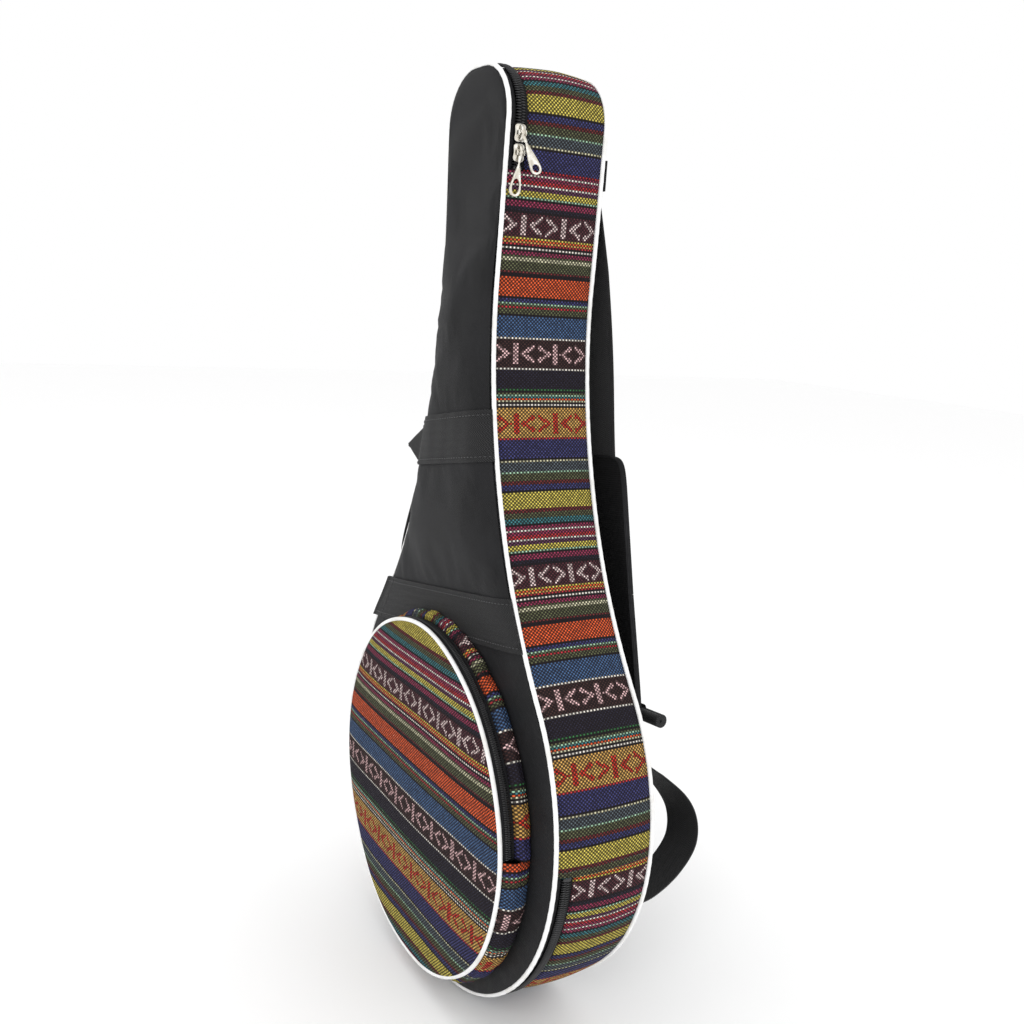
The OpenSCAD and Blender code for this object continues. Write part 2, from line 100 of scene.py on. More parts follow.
def buildOutline():
    # right half: round body, hollow flare, head corner; the left half is its mirror image
    c = case
    flareX = c["neckHalf"] + c["flareRadius"]
    flareZ = c["bodyRadius"] + math.sqrt((c["bodyRadius"] + c["flareRadius"]) ** 2 - flareX**2)
    flareAngle = math.atan2(flareZ - c["bodyRadius"], flareX)
    headZ = c["height"] - c["headCorner"]
    arcs = [
        arcOf(0, c["bodyRadius"], c["bodyRadius"], -math.pi / 2, flareAngle, 1, 400),
        arcOf(flareX, flareZ, c["flareRadius"], math.pi + flareAngle, math.pi, -1, 200),
        arcOf(c["headHalf"] - c["headCorner"], headZ, c["headCorner"], 0, math.pi / 2, 1, 90),
    ]
    place = np.concatenate([a[0] for a in arcs])
    out = np.concatenate([a[1] for a in arcs])
    flip = np.array([-1.0, 1.0])
    place = np.concatenate([place, (place * flip)[::-1]])
    out = np.concatenate([out, (out * flip)[::-1]])
    along = lengthAlong(place)
    keep = np.concatenate([[True], np.diff(along) > 1e-7])
    return along[keep], place[keep], out[keep]


outAlong, outPlace, outNormal = buildOutline()
outLength = outAlong[-1]
halfCount = len(outAlong) // 2


def around(s):
    # the outline's place (x, z) and outward direction at distances s from the bottom seam
    s = np.mod(np.asarray(s, float), outLength)
    place = np.stack([np.interp(s, outAlong, outPlace[:, k]) for k in (0, 1)], -1)
    out = np.stack([np.interp(s, outAlong, outNormal[:, k]) for k in (0, 1)], -1)
    return place, out / np.linalg.norm(out, axis=-1, keepdims=True)


def alongAt(z):
    # distance along the outline at a height on the hinge side
    return float(np.interp(z, outPlace[:halfCount, 1], outAlong[:halfCount]))


def halfWidth(z):
    # half width of the outline at heights above the body's middle
    return np.interp(z, outPlace[:halfCount, 1], outPlace[:halfCount, 0])


evenRim = around(np.linspace(0, outLength, 900))[0]


def edgeDistance(x, z):
    # shortest distance in the plane from points to the outline
    gap = np.stack([x, z], -1)[..., None, :] - evenRim
    return np.sqrt((gap**2).sum(-1)).min(-1)


def framed(x, depth, z):
    # seam measures to the frame: depth 0 is the front seam, z 0 the bottom seam
    x, depth, z = np.broadcast_arrays(x, depth, z)
    return np.stack([x, depth + frontSeam, z + pipingRadius], -1)


def rounded(v, power):
    # signed power: turns a circle's cosine and sine into a superellipse's
    return np.sign(v) * np.abs(v) ** power


def circle(count):
    return np.linspace(0, 2 * math.pi, count)


def clothUv(u, v):
    # u along the rows of a grid and v across them
    return np.stack(np.meshgrid(u, v, indexing="ij"), -1)


def swell(distance, height, reach):
    # a padded face rises steeply from its seam and levels out: 1 - exp(-distance / reach)
    return height * (1 - np.exp(-np.asarray(distance) / reach))


def frontDepth(x, z, inside=None):
    # depth of the padded front panel's outer face
    inside = edgeDistance(x, z) if inside is None else inside
    crown = np.interp(z, case["crownAt"], case["crown"])
    return -0.6 * pipingRadius - swell(inside, crown, case["crownReach"])


def gridPiece(name, grid, uv=None, materials=(), smoothAngle=50, closed=False):
    # quads over a grid of points (rows, columns, 3); doubled rows, columns and poles are merged
    rows, columns = grid.shape[:2]
    index = np.arange(rows * columns).reshape(rows, columns)
    quads = np.stack([index[:-1, :-1], index[1:, :-1], index[1:, 1:], index[:-1, 1:]], -1).reshape(-1, 4)
    mesh = bpy.data.meshes.new(name)
    mesh.from_pydata(grid.reshape(-1, 3), [], quads)
    if uv is not None:
        layer = mesh.uv_layers.new(name="cloth")
        layer.data.foreach_set("uv", uv.reshape(-1, 2)[quads.ravel()].ravel().astype(np.float32))
    for material in materials:
        mesh.materials.append(material)
    return showMesh(name, mesh, smoothAngle, closed)


def showMesh(name, mesh, smoothAngle, closed):
    # a cleaned, smoothed mesh as an object in the scene
    cleanMesh(mesh, closed)
    smoothMesh(mesh, smoothAngle)
    piece = bpy.data.objects.new(name, mesh)
    bpy.context.scene.collection.objects.link(piece)
    return piece


def cleanMesh(mesh, closed):
    # merges doubled points; a closed form's faces are turned outwards
    work = bmesh.new()
    work.from_mesh(mesh)
    bmesh.ops.remove_doubles(work, verts=work.verts, dist=2e-6)
    if closed:
        bmesh.ops.recalc_face_normals(work, faces=work.faces)
    work.to_mesh(mesh)
    work.free()


def smoothMesh(mesh, angle):
    mesh.shade_smooth()
    mesh.set_sharp_from_angle(angle=math.radians(angle))


def applyModifiers(piece):
    # the evaluated mesh becomes the piece's own
    graph = bpy.context.evaluated_depsgraph_get()
    mesh = bpy.data.meshes.new_from_object(piece.evaluated_get(graph), depsgraph=graph)
    old = piece.data
    piece.modifiers.clear()
    piece.data = mesh
    bpy.data.meshes.remove(old)


def thicken(piece, thickness, inside=0):
    # gives a sheet its thickness on its back side; inside is the step to that side's material
    solid = piece.modifiers.new("thickness", "SOLIDIFY")
    solid.thickness = thickness
    solid.offset = -1
    solid.material_offset = inside
    applyModifiers(piece)


def refine(piece):
    sub = piece.modifiers.new("smooth", "SUBSURF")
    sub.levels = 1
    sub.render_levels = 1
    applyModifiers(piece)


def profileGrid(s, profile):
    # a profile of (outwards, depth) carried round the outline at distances s
    place, out = around(s)
    profile = np.broadcast_to(profile, (len(s),) + profile.shape[-2:])
    xz = place[:, None, :] + out[:, None, :] * profile[..., :1]
    return framed(xz[..., 0], profile[..., 1], xz[..., 1])


def ringUv(s, profile):
    # u runs along the outline and v across the profile, in metres
    return clothUv(s, lengthAlong(profile))


def ripple(u, v, height):
    # soft unevenness of padded cloth: a few long waves of unrelated lengths
    wave = np.sin(u * 61 + 1.3 * np.sin(v * 47)) + 0.7 * np.sin(u * 113 + v * 71 + 0.8)
    return height * (wave + 0.5 * np.sin(v * 157 - u * 39 + 2.1)) / 2.2


def circleProfile(radius, count=12, out=0.0, depth=0.0):
    a = circle(count + 1)
    return np.stack([out + radius * np.cos(a), depth + radius * np.sin(a)], -1)


def setUp(piece, body, slot, *nodes):
    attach(piece, body)
    if nodes:
        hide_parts(*nodes)
    return piece


# The lid folds on a straight line from the zip's lower end to the far side of the neck.
def foldLine():
    c = case
    foldX = math.sqrt(c["bodyRadius"] ** 2 - (c["zipLow"] - c["bodyRadius"]) ** 2)
    joint = [j for j in frame["joints"] if j["name"] == "lid_fold"][0]
    axis = Vector(joint["axis"])
    across = Vector((-axis.z, 0, axis.x))
    return Vector((foldX, frontSeam, c["zipLow"] + pipingRadius)), across


foldPlace, foldAcross = foldLine()
foldBefore = 9 * mm
foldAfter = 16 * mm


def cross(piece, bodies, start, end, slot, *nodes):
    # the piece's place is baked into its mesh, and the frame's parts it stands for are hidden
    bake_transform(piece)
    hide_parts(*nodes)


def crossFold(piece, slot, *nodes):
    start = foldPlace - foldAcross * foldBefore
    end = foldPlace + foldAcross * foldAfter
    cross(piece, ("shell", "lid"), start, end, slot, *nodes)


def puffUp(piece, held, pressure, cap, stretch=0.03, frames=18):
    # cloth under pressure with no gravity, held where held is true; the move is scaled down to cap at most
    mesh = piece.data
    before = np.empty(len(mesh.vertices) * 3, np.float32)
    mesh.vertices.foreach_get("co", before)
    group = piece.vertex_groups.new(name="held")
    group.add([int(i) for i in np.flatnonzero(held)], 1.0, "REPLACE")
    cloth = piece.modifiers.new("cloth", "CLOTH")
    settings = cloth.settings
    settings.quality = 6
    settings.mass = 0.3
    settings.tension_stiffness = 30
    settings.compression_stiffness = 30
    settings.shear_stiffness = 12
    settings.bending_stiffness = 2
    settings.vertex_group_mass = "held"
    settings.use_pressure = True
    settings.uniform_pressure_force = pressure
    settings.shrink_min = -stretch
    settings.effector_weights.gravity = 0
    cloth.point_cache.frame_start = 1
    cloth.point_cache.frame_end = frames
    scene = bpy.context.scene
    for number in range(1, frames + 1):
        scene.frame_set(number)
    graph = bpy.context.evaluated_depsgraph_get()
    after = np.empty_like(before)
    piece.evaluated_get(graph).data.vertices.foreach_get("co", after)
    piece.modifiers.remove(cloth)
    piece.vertex_groups.clear()
    scene.frame_set(1)
    move = (after - before).reshape(-1, 3)
    far = np.linalg.norm(move, axis=1)
    move *= min(1, cap / max(float(far.max()), 1e-9))
    mesh.vertices.foreach_set("co", (before.reshape(-1, 3) + move).ravel())
    mesh.update()
    print("cloth settled on", piece.name, "largest move", round(float(far.max()) * 1000, 1), "mm")


def coordinates(piece):
    co = np.empty(len(piece.data.vertices) * 3)
    piece.data.vertices.foreach_get("co", co)
    return co.reshape(-1, 3)


def wire(tree, kind, inputs=None, **settings):
    # a node with its settings; each input is joined to a socket or set to a value
    made = tree.nodes.new(kind)
    for key, value in settings.items():
        setattr(made, key, value)
    for key, value in (inputs or {}).items():
        if isinstance(value, bpy.types.NodeSocket):
            tree.links.new(value, made.inputs[key])
        else:
            made.inputs[key].default_value = value
    return made


def calc(tree, operation, *values):
    return wire(tree, "ShaderNodeMath", dict(enumerate(values)), operation=operation).outputs[0]


def nearest(tree, value, pitch):
    # number of the row or thread that a place lies on
    return calc(tree, "FLOOR", calc(tree, "ADD", calc(tree, "DIVIDE", value, pitch), 0.5))


def mixed(tree, share, first, second, blend="MIX"):
    made = wire(tree, "ShaderNodeMix", {"Factor": share}, data_type="RGBA", blend_type=blend)
    for slot, value in ((6, first), (7, second)):
        if isinstance(value, bpy.types.NodeSocket):
            tree.links.new(value, made.inputs[slot])
        else:
            made.inputs[slot].default_value = (*value, 1)
    return made.outputs[2]


def remap(tree, value, low, high, newLow=0.0, newHigh=1.0, smooth=True):
    kind = "SMOOTHSTEP" if smooth else "LINEAR"
    numbers = {"Value": value, "From Min": low, "From Max": high, "To Min": newLow, "To Max": newHigh}
    return wire(tree, "ShaderNodeMapRange", numbers, interpolation_type=kind).outputs[0]


def startGroup(name, inputs, outputs):
    tree = bpy.data.node_groups.new(name, "ShaderNodeTree")
    for label, kind, value in inputs:
        socket = tree.interface.new_socket(label, in_out="INPUT", socket_type="NodeSocket" + kind)
        if value is not None:
            socket.default_value = value
    for label, kind in outputs:
        tree.interface.new_socket(label, in_out="OUTPUT", socket_type="NodeSocket" + kind)
    return tree, tree.nodes.new("NodeGroupInput"), tree.nodes.new("NodeGroupOutput")


def useGroup(tree, group, inputs):
    made = tree.nodes.new("ShaderNodeGroup")
    made.node_tree = group
    for key, value in inputs.items():
        if isinstance(value, bpy.types.NodeSocket):
            tree.links.new(value, made.inputs[key])
        else:
            made.inputs[key].default_value = value
    return made


def latticeGroup():
    # Threads of a plain weave: cos(pi u / rowPitch) * cos(pi v / threadPitch) is high on each float.
    inputs = [("Place", "Vector", None), ("Row pitch", "Float", 1.39), ("Thread pitch", "Float", 1.45)]
    outputs = [("Over", "Float"), ("Random", "Float"), ("Fuzz", "Float")]
    tree, given, result = startGroup("weaveLattice", inputs, outputs)
    split = wire(tree, "ShaderNodeSeparateXYZ", {0: given.outputs[0]})
    uCell = calc(tree, "DIVIDE", split.outputs[0], given.outputs[1])
    vCell = calc(tree, "DIVIDE", split.outputs[1], given.outputs[2])
    waves = [calc(tree, "COSINE", calc(tree, "MULTIPLY", cell, math.pi)) for cell in (uCell, vCell)]
    over = remap(tree, calc(tree, "MULTIPLY", *waves), -0.22, 0.58)
    cells = [calc(tree, "FLOOR", calc(tree, "ADD", cell, 0.5)) for cell in (uCell, vCell)]
    place = wire(tree, "ShaderNodeCombineXYZ", {0: cells[0], 1: cells[1]})
    random = wire(tree, "ShaderNodeTexWhiteNoise", {0: place.outputs[0]}, noise_dimensions="2D")
    fuzz = wire(tree, "ShaderNodeTexNoise", {"Vector": given.outputs[0], "Scale": 1.9, "Detail": 3})
    tree.links.new(over, result.inputs[0])
    tree.links.new(random.outputs[0], result.inputs[1])
    tree.links.new(fuzz.outputs[0], result.inputs[2])
    return tree


# Yarn colours of the striped cloth, as linear red, green, blue
yarn = {
    "black": (0.006, 0.005, 0.008), "white": (0.80, 0.76, 0.68), "cream": (0.62, 0.60, 0.40),
    "yellow": (0.66, 0.55, 0.10), "gold": (0.66, 0.38, 0.10), "orange": (0.78, 0.115, 0.03),
    "red": (0.50, 0.035, 0.045), "magenta": (0.30, 0.035, 0.09), "plum": (0.12, 0.04, 0.09),
    "blue": (0.060, 0.130, 0.27), "indigo": (0.045, 0.050, 0.17), "navy": (0.014, 0.014, 0.028),
    "teal": (0.045, 0.20, 0.22), "mint": (0.36, 0.58, 0.40), "green": (0.03, 0.15, 0.05),
    "olive": (0.105, 0.115, 0.055), "slate": (0.085, 0.11, 0.125), "brown": (0.045, 0.020, 0.018),
    "redMix": (0.085, 0.022, 0.030), "darkRed": (0.16, 0.025, 0.025),
}

# One repeat of the striped cloth: colour and number of weft rows, in weaving order
stripes = [
    ("redMix", 12), ("yellow", 1), ("orange", 1), ("gold", 1), ("red", 1), ("black", 1), ("white", 1),
    ("black", 1), ("magenta", 2), ("olive", 1), ("cream", 2), ("olive", 5), ("darkRed", 1),
    ("black", 2), ("orange", 10), ("black", 1), ("indigo", 2), ("mint", 1), ("olive", 1), ("red", 1),
    ("olive", 3), ("black", 1), ("blue", 11), ("white", 1), ("brown", 15), ("white", 1), ("navy", 10),
    ("green", 1), ("black", 1), ("olive", 1), ("mint", 1), ("teal", 1), ("orange", 1), ("cream", 1),
    ("black", 1), ("white", 1), ("black", 1), ("gold", 16), ("red", 1), ("indigo", 10), ("black", 1),
    ("cream", 1), ("slate", 5), ("mint", 1), ("olive", 4), ("darkRed", 2), ("indigo", 3), ("black", 1),
    ("yellow", 9), ("darkRed", 2), ("olive", 3), ("teal", 3), ("black", 1), ("magenta", 2),
    ("white", 1), ("magenta", 2), ("red", 2), ("white", 1), ("plum", 2), ("yellow", 3), ("mint", 1),
    ("black", 1), ("magenta", 3), ("navy", 2), ("black", 1),
]
weave = {
    "rowPitch": 1.39,         # millimetres between weft rows
    "threadPitch": 1.45,
    "motifPeriod": 33.9,      # across the cloth, from one diamond to the next
    "motifStart": 32.6,       # place of a diamond's middle
    "diamondHalf": 12.2,
    "motifHalf": 7.4,         # half height of diamonds and bars
    "barHalf": 2.3,
    # middle row of each figured band, and its yarn
    "figured": [(6, (0.80, 0.62, 0.60)), (71.5, (0.78, 0.50, 0.50)), (108.5, (0.62, 0.045, 0.02))],
}
repeatRows = sum(rows for _, rows in stripes)


def stripeRamp(tree, share, quarter):
    # colours of one quarter of the repeat, as steps of a ramp over that quarter
    made = wire(tree, "ShaderNodeValToRGB", {0: share})
    ramp = made.color_ramp
    ramp.interpolation = "CONSTANT"
    first, last = quarter * repeatRows / 4, (quarter + 1) * repeatRows / 4
    row = 0
    steps = []
    for colour, rows in stripes:
        if row + rows > first and row < last:
            steps.append((max(0, (row - first) / (last - first)), yarn[colour]))
        row += rows
    while len(ramp.elements) < len(steps):
        ramp.elements.new(0.5)
    for element, (place, colour) in zip(ramp.elements, steps):
        element.position = place
        element.color = (*colour, 1)
    return made.outputs[0]


def stripedGroup(lattice):
    # Striped cloth: u counts weft rows through the repeat, v runs along the rows.
    tree, given, result = startGroup(
        "stripedCloth", [("Place", "Vector", None)],
        [("Color", "Color"), ("Height", "Float"), ("Roughness", "Float")])
    w = weave
    threads = useGroup(tree, lattice, {"Place": given.outputs[0], "Row pitch": w["rowPitch"],
                                       "Thread pitch": w["threadPitch"]})
    split = wire(tree, "ShaderNodeSeparateXYZ", {0: given.outputs[0]})
    rows = nearest(tree, split.outputs[0], w["rowPitch"])
    turn = calc(tree, "DIVIDE", calc(tree, "ADD", rows, 0.5), repeatRows)
    rowInRepeat = calc(tree, "MULTIPLY", calc(tree, "FRACT", turn), repeatRows)
    quarterShare = calc(tree, "DIVIDE", rowInRepeat, repeatRows / 4)
    within = calc(tree, "FRACT", quarterShare)
    colour = stripeRamp(tree, within, 0)
    for quarter in (1, 2, 3):
        later = calc(tree, "GREATER_THAN", quarterShare, float(quarter))
        colour = mixed(tree, later, colour, stripeRamp(tree, within, quarter))
    # figures: |x| / diamondHalf + |y| / motifHalf = 1 is a diamond, and bars stand between them
    thread = nearest(tree, split.outputs[1], w["threadPitch"])
    across = calc(tree, "SUBTRACT", calc(tree, "MULTIPLY", thread, w["threadPitch"]), w["motifStart"])
    turn = calc(tree, "FRACT", calc(tree, "ADD", calc(tree, "DIVIDE", across, w["motifPeriod"]), 0.5))
    x = calc(tree, "MULTIPLY", calc(tree, "ABSOLUTE", calc(tree, "SUBTRACT", turn, 0.5)), w["motifPeriod"])
    bar = calc(tree, "GREATER_THAN", x, w["motifPeriod"] / 2 - w["barHalf"])
    for middle, motifColour in w["figured"]:
        fromMiddle = calc(tree, "ABSOLUTE", calc(tree, "SUBTRACT", rowInRepeat, float(middle)))
        y = calc(tree, "MULTIPLY", fromMiddle, w["rowPitch"])
        parts = [calc(tree, "DIVIDE", x, w["diamondHalf"]), calc(tree, "DIVIDE", y, w["motifHalf"])]
        reach = calc(tree, "ADD", *parts)
        edges = [calc(tree, "GREATER_THAN", reach, 0.66), calc(tree, "LESS_THAN", reach, 1.10)]
        stroke = calc(tree, "MULTIPLY", *edges)
        stroke = calc(tree, "MULTIPLY", stroke, calc(tree, "GREATER_THAN", x, 1.6))
        shape = calc(tree, "MAXIMUM", stroke, bar)
        shape = calc(tree, "MULTIPLY", shape, calc(tree, "LESS_THAN", y, w["motifHalf"]))
        colour = mixed(tree, shape, colour, motifColour)
    over = threads.outputs["Over"]
    light = remap(tree, threads.outputs["Random"], 0.0, 1.0, 0.70, 1.38, smooth=False)
    grey = wire(tree, "ShaderNodeCombineColor", {0: light, 1: light, 2: light}).outputs[0]
    raised = mixed(tree, 1.0, colour, grey, "MULTIPLY")
    # the gaps between floats are near black: partly the dark under-threads, partly painted shade in the
    # weave's hollows
    under = mixed(tree, 0.92, colour, (0.006, 0.004, 0.006))
    shown = mixed(tree, over, under, raised)
    fuzz = remap(tree, threads.outputs["Fuzz"], 0.3, 0.7, 0.0, 0.16)
    shown = mixed(tree, fuzz, shown, (0.10, 0.08, 0.075))
    height = calc(tree, "ADD", over, calc(tree, "MULTIPLY", threads.outputs["Fuzz"], 0.35))
    tree.links.new(shown, result.inputs[0])
    tree.links.new(height, result.inputs[1])
    tree.links.new(remap(tree, over, 0.0, 1.0, 0.95, 0.72, smooth=False), result.inputs[2])
    return tree


def clothPlace(tree):
    # the piece's own cloth coordinates, in millimetres
    uv = wire(tree, "ShaderNodeUVMap", uv_map="cloth")
    return wire(tree, "ShaderNodeMapping", {"Vector": uv.outputs[0], "Scale": (1000.0,) * 3}).outputs[0]


def newMaterial(name, **values):
    material = bpy.data.materials.new(name)
    material.use_nodes = True
    shader = material.node_tree.nodes["Principled BSDF"]
    for key, value in values.items():
        shader.inputs[key.replace("_", " ")].default_value = value
    return material, material.node_tree, shader


def objectNoise(tree, scale, detail, stretch=None):
    # noise in the piece's own place, in metres; stretch draws it out along z
    place = wire(tree, "ShaderNodeTexCoord").outputs["Object"]
    if stretch:
        place = wire(tree, "ShaderNodeMapping", {"Vector": place, "Scale": stretch}).outputs[0]
    return wire(tree, "ShaderNodeTexNoise", {"Vector": place, "Scale": scale, "Detail": detail}).outputs[0]


def dress(tree, shader, colour, roughness, height, distance):
    # joins a material's colour, roughness and relief to its shader
    tree.links.new(colour, shader.inputs["Base Color"])
    tree.links.new(roughness, shader.inputs["Roughness"])
    bump = wire(tree, "ShaderNodeBump", {"Height": height, "Distance": distance, "Strength": 1.0})
    tree.links.new(bump.outputs[0], shader.inputs["Normal"])


def stripedMaterial(group):
    material, tree, shader = newMaterial("stripedCloth", Specular_IOR_Level=0.12)
    cloth = useGroup(tree, group, {"Place": clothPlace(tree)}).outputs
    dress(tree, shader, cloth["Color"], cloth["Roughness"], cloth["Height"], 0.0006)
    return material


def plainWeaveMaterial(name, lattice, p):
    # one-colour woven cloth: floats catch more light, with slow clouds of wear
    sheen = p.get("sheen", 0.0)
    material, tree, shader = newMaterial(
        name, Sheen_Weight=sheen, Sheen_Roughness=0.45, Specular_IOR_Level=0.22)
    row, thread = p["pitch"]
    place = {"Place": clothPlace(tree), "Row pitch": row, "Thread pitch": thread}
    threads = useGroup(tree, lattice, place).outputs
    random = remap(tree, threads["Random"], 0, 1, 0.55, 1)
    # painted highlight: the floats are coloured towards the gloss colour
    shown = mixed(tree, calc(tree, "MULTIPLY", threads["Over"], random), p["colour"], p["gloss"])
    worn = remap(tree, objectNoise(tree, 22.0, 4), 0.35, 0.7, 0.0, p.get("clouds", 0.3))
    shown = mixed(tree, worn, shown, tuple(c * 1.5 for c in p["gloss"]))
    base = remap(tree, threads["Over"], 0, 1, p["roughness"] + 0.12, p["roughness"])
    rough = calc(tree, "ADD", base, calc(tree, "MULTIPLY", worn, 0.15))
    dress(tree, shader, shown, rough, threads["Over"], p["depth"])
    return material


def ribs(tree, value, pitch):
    # even ridges: |sin(pi value / pitch)|
    return calc(tree, "ABSOLUTE", calc(tree, "SINE", calc(tree, "MULTIPLY", value, math.pi / pitch)))


def webbingMaterial():
    # herringbone webbing: slanted ribs whose lean changes at each column, crossed by threads
    material, tree, shader = newMaterial("webbing", Specular_IOR_Level=0.35)
    split = wire(tree, "ShaderNodeSeparateXYZ", {0: clothPlace(tree)})
    lean = calc(tree, "ADD", split.outputs[0], calc(tree, "PINGPONG", split.outputs[1], 3.2))
    slanted = remap(tree, ribs(tree, lean, 1.5), 0.35, 1.0)
    crossing = remap(tree, ribs(tree, split.outputs[1], 0.8), 0.1, 0.9)
    glint = calc(tree, "MULTIPLY", slanted, crossing)
    # painted glint: where the slanted ribs cross the threads the colour is a brighter grey
    shown = mixed(tree, glint, (0.0015, 0.0015, 0.0018), (0.034, 0.034, 0.036))
    dress(tree, shader, shown, remap(tree, glint, 0, 1, 0.75, 0.42), glint, 0.0004)
    return material


def meshMaterial():
    # spacer mesh of the padded straps: rows of small round holes set in a triangle pattern
    material, tree, shader = newMaterial("strapMesh", Specular_IOR_Level=0.15)
    pattern = {"Vector": clothPlace(tree), "Scale": 0.62, "Randomness": 0.08}
    cells = wire(tree, "ShaderNodeTexVoronoi", pattern, feature="F1")
    hole = remap(tree, cells.outputs["Distance"], 0.16, 0.42)
    # painted shade: the round holes are coloured darker than the mesh round them
    shown = mixed(tree, hole, (0.0015, 0.0015, 0.0015), (0.008, 0.008, 0.0085))
    dress(tree, shader, shown, remap(tree, hole, 0, 1, 0.9, 0.62), hole, 0.0005)
    return material


def pipingMaterial():
    # smooth vinyl in slow patches at random, some a slightly darker, yellower white and rougher
    material, tree, shader = newMaterial(
        "whitePiping", Coat_Weight=0.12, Coat_Roughness=0.25, Specular_IOR_Level=0.4)
    share = remap(tree, objectNoise(tree, 60.0, 6), 0.45, 0.75)
    shown = mixed(tree, share, (0.87, 0.87, 0.87), (0.74, 0.73, 0.70))
    dress(tree, shader, shown, remap(tree, share, 0, 1, 0.34, 0.55), objectNoise(tree, 420.0, 2), 0.0002)
    return material


def plasticMaterial(name, colour, roughness):
    # moulded plastic with a fine spark-eroded grain
    material, tree, shader = newMaterial(name)
    share = remap(tree, objectNoise(tree, 75.0, 5), 0.5, 0.75)
    shown = mixed(tree, share, colour, tuple(c * 2.2 for c in colour))
    rough = remap(tree, share, 0, 1, roughness, roughness + 0.2)
    dress(tree, shader, shown, rough, objectNoise(tree, 900.0, 2), 0.00008)
    return material


def nickelMaterial():
    # worn nickel plate: rubbed bright, smoother patches among darker ones at random, and fine scratches
    material, tree, shader = newMaterial("nickel", Metallic=1.0)
    scratch = objectNoise(tree, 1.0, 2, (2600, 2600, 240))
    share = remap(tree, objectNoise(tree, 260.0, 5), 0.35, 0.7)
    shown = mixed(tree, share, (0.62, 0.58, 0.50), (0.80, 0.78, 0.72))
    worn = remap(tree, share, 0, 1, 0.38, 0.20)
    rough = calc(tree, "ADD", worn, calc(tree, "MULTIPLY", scratch, 0.14))
    dress(tree, shader, shown, rough, scratch, 0.00005)
    return material


def threadMaterial():
    # twisted sewing thread
    material, tree, shader = newMaterial("thread", Sheen_Weight=0.2)
    twist = objectNoise(tree, 1500.0, 2)
    shown = mixed(tree, twist, (0.008, 0.008, 0.009), (0.05, 0.05, 0.052))
    dress(tree, shader, shown, remap(tree, twist, 0, 1, 0.5, 0.7), twist, 0.0001)
    return material


# Plain cloths: base and gloss colours, row and thread pitch in millimetres, relief in metres
plainCloths = {
    "blackNylon": {"colour": (0.005, 0.005, 0.0055), "gloss": (0.017, 0.017, 0.019),
                   "pitch": (0.62, 0.62), "depth": 0.00025, "roughness": 0.50},
    "lining": {"colour": (0.030, 0.030, 0.034), "gloss": (0.075, 0.075, 0.082),
               "pitch": (0.45, 0.45), "depth": 0.00012, "roughness": 0.6, "sheen": 0.1},
    "zipTape": {"colour": (0.006, 0.006, 0.007), "gloss": (0.018, 0.018, 0.020),
                "pitch": (0.5, 0.7), "depth": 0.0002, "roughness": 0.7, "clouds": 0.1},
}
lattice = latticeGroup()
striped = stripedMaterial(stripedGroup(lattice))
nylon, lining, tapeCloth = (plainWeaveMaterial(name, lattice, p) for name, p in plainCloths.items())
webbing = webbingMaterial()
strapMesh = meshMaterial()
vinyl = pipingMaterial()
coilPlastic = plasticMaterial("coilPlastic", (0.012, 0.012, 0.013), 0.35)
blackPlastic = plasticMaterial("blackPlastic", (0.012, 0.012, 0.013), 0.42)
nickel = nickelMaterial()
thread = threadMaterial()
print("materials made")


def spokeGrid(inset, rings, count, spread=1.6):
    # Rays from the bag's middle line to the rim; rings crowd towards the rim as 1 - (1 - t)^spread.
    s = np.linspace(0, outLength, count + 1)
    place, out = around(s)
    rim = place - out * inset
    middle = np.clip(rim[:, 1], case["bodyRadius"], case["height"] - case["headCorner"])
    spine = np.stack([np.zeros_like(middle), middle], -1)
    t = 1 - (1 - np.linspace(0, 1, rings)) ** spread
    xz = spine[:, None, :] + (rim - spine)[:, None, :] * t[None, :, None]
    return xz[..., 0], xz[..., 1]


def makeFrontPanel():
    # one padded cloth over the whole front, swelling from its seam; held at the seam and under the bands
    x, z = spokeGrid(0.5 * pipingRadius, 22, 300)
    depth = frontDepth(x, z) + 0.4 * mm * np.sin(x * 55) * np.sin(z * 40)
    grid = framed(x, depth, z)
    piece = gridPiece("frontPanel", grid[:, ::-1], np.stack([z, x], -1)[:, ::-1], [nylon, lining])
    co = coordinates(piece)
    zSeam, xSeam = co[:, 2] - pipingRadius, co[:, 0]
    held = edgeDistance(xSeam, zSeam) < 2.5 * mm
    for band in bands.values():
        held |= np.abs(zSeam - band["z"] - xSeam * math.tan(bandTilt)) < 0.55 * bandWidth
    pocketGap = np.abs(np.hypot(xSeam, zSeam - pocket["z"]) - pocket["radius"])
    held |= pocketGap < 7 * mm
    puffUp(piece, held, 0.45, 3 * mm)
    thicken(piece, 1 * mm)
    crossFold(piece, "black_nylon", "neck_panel", "lid_panel")


def makeBackPanel():
    x, z = spokeGrid(0.5 * pipingRadius, 18, 260)
    depth = caseDepth + 0.6 * pipingRadius + swell(edgeDistance(x, z), case["crownBack"], 22 * mm)
    depth = np.minimum(depth, rearFace + 3.5 * mm)
    piece = gridPiece("backPanel", framed(x, depth, z), np.stack([z, x], -1), [nylon, lining])
    co = coordinates(piece)
    held = edgeDistance(co[:, 0], co[:, 2] - pipingRadius) < 2.5 * mm
    puffUp(piece, held, 0.05, 2 * mm)
    thicken(piece, 1 * mm)
    setUp(piece, "shell", "black_nylon", "back_panel")


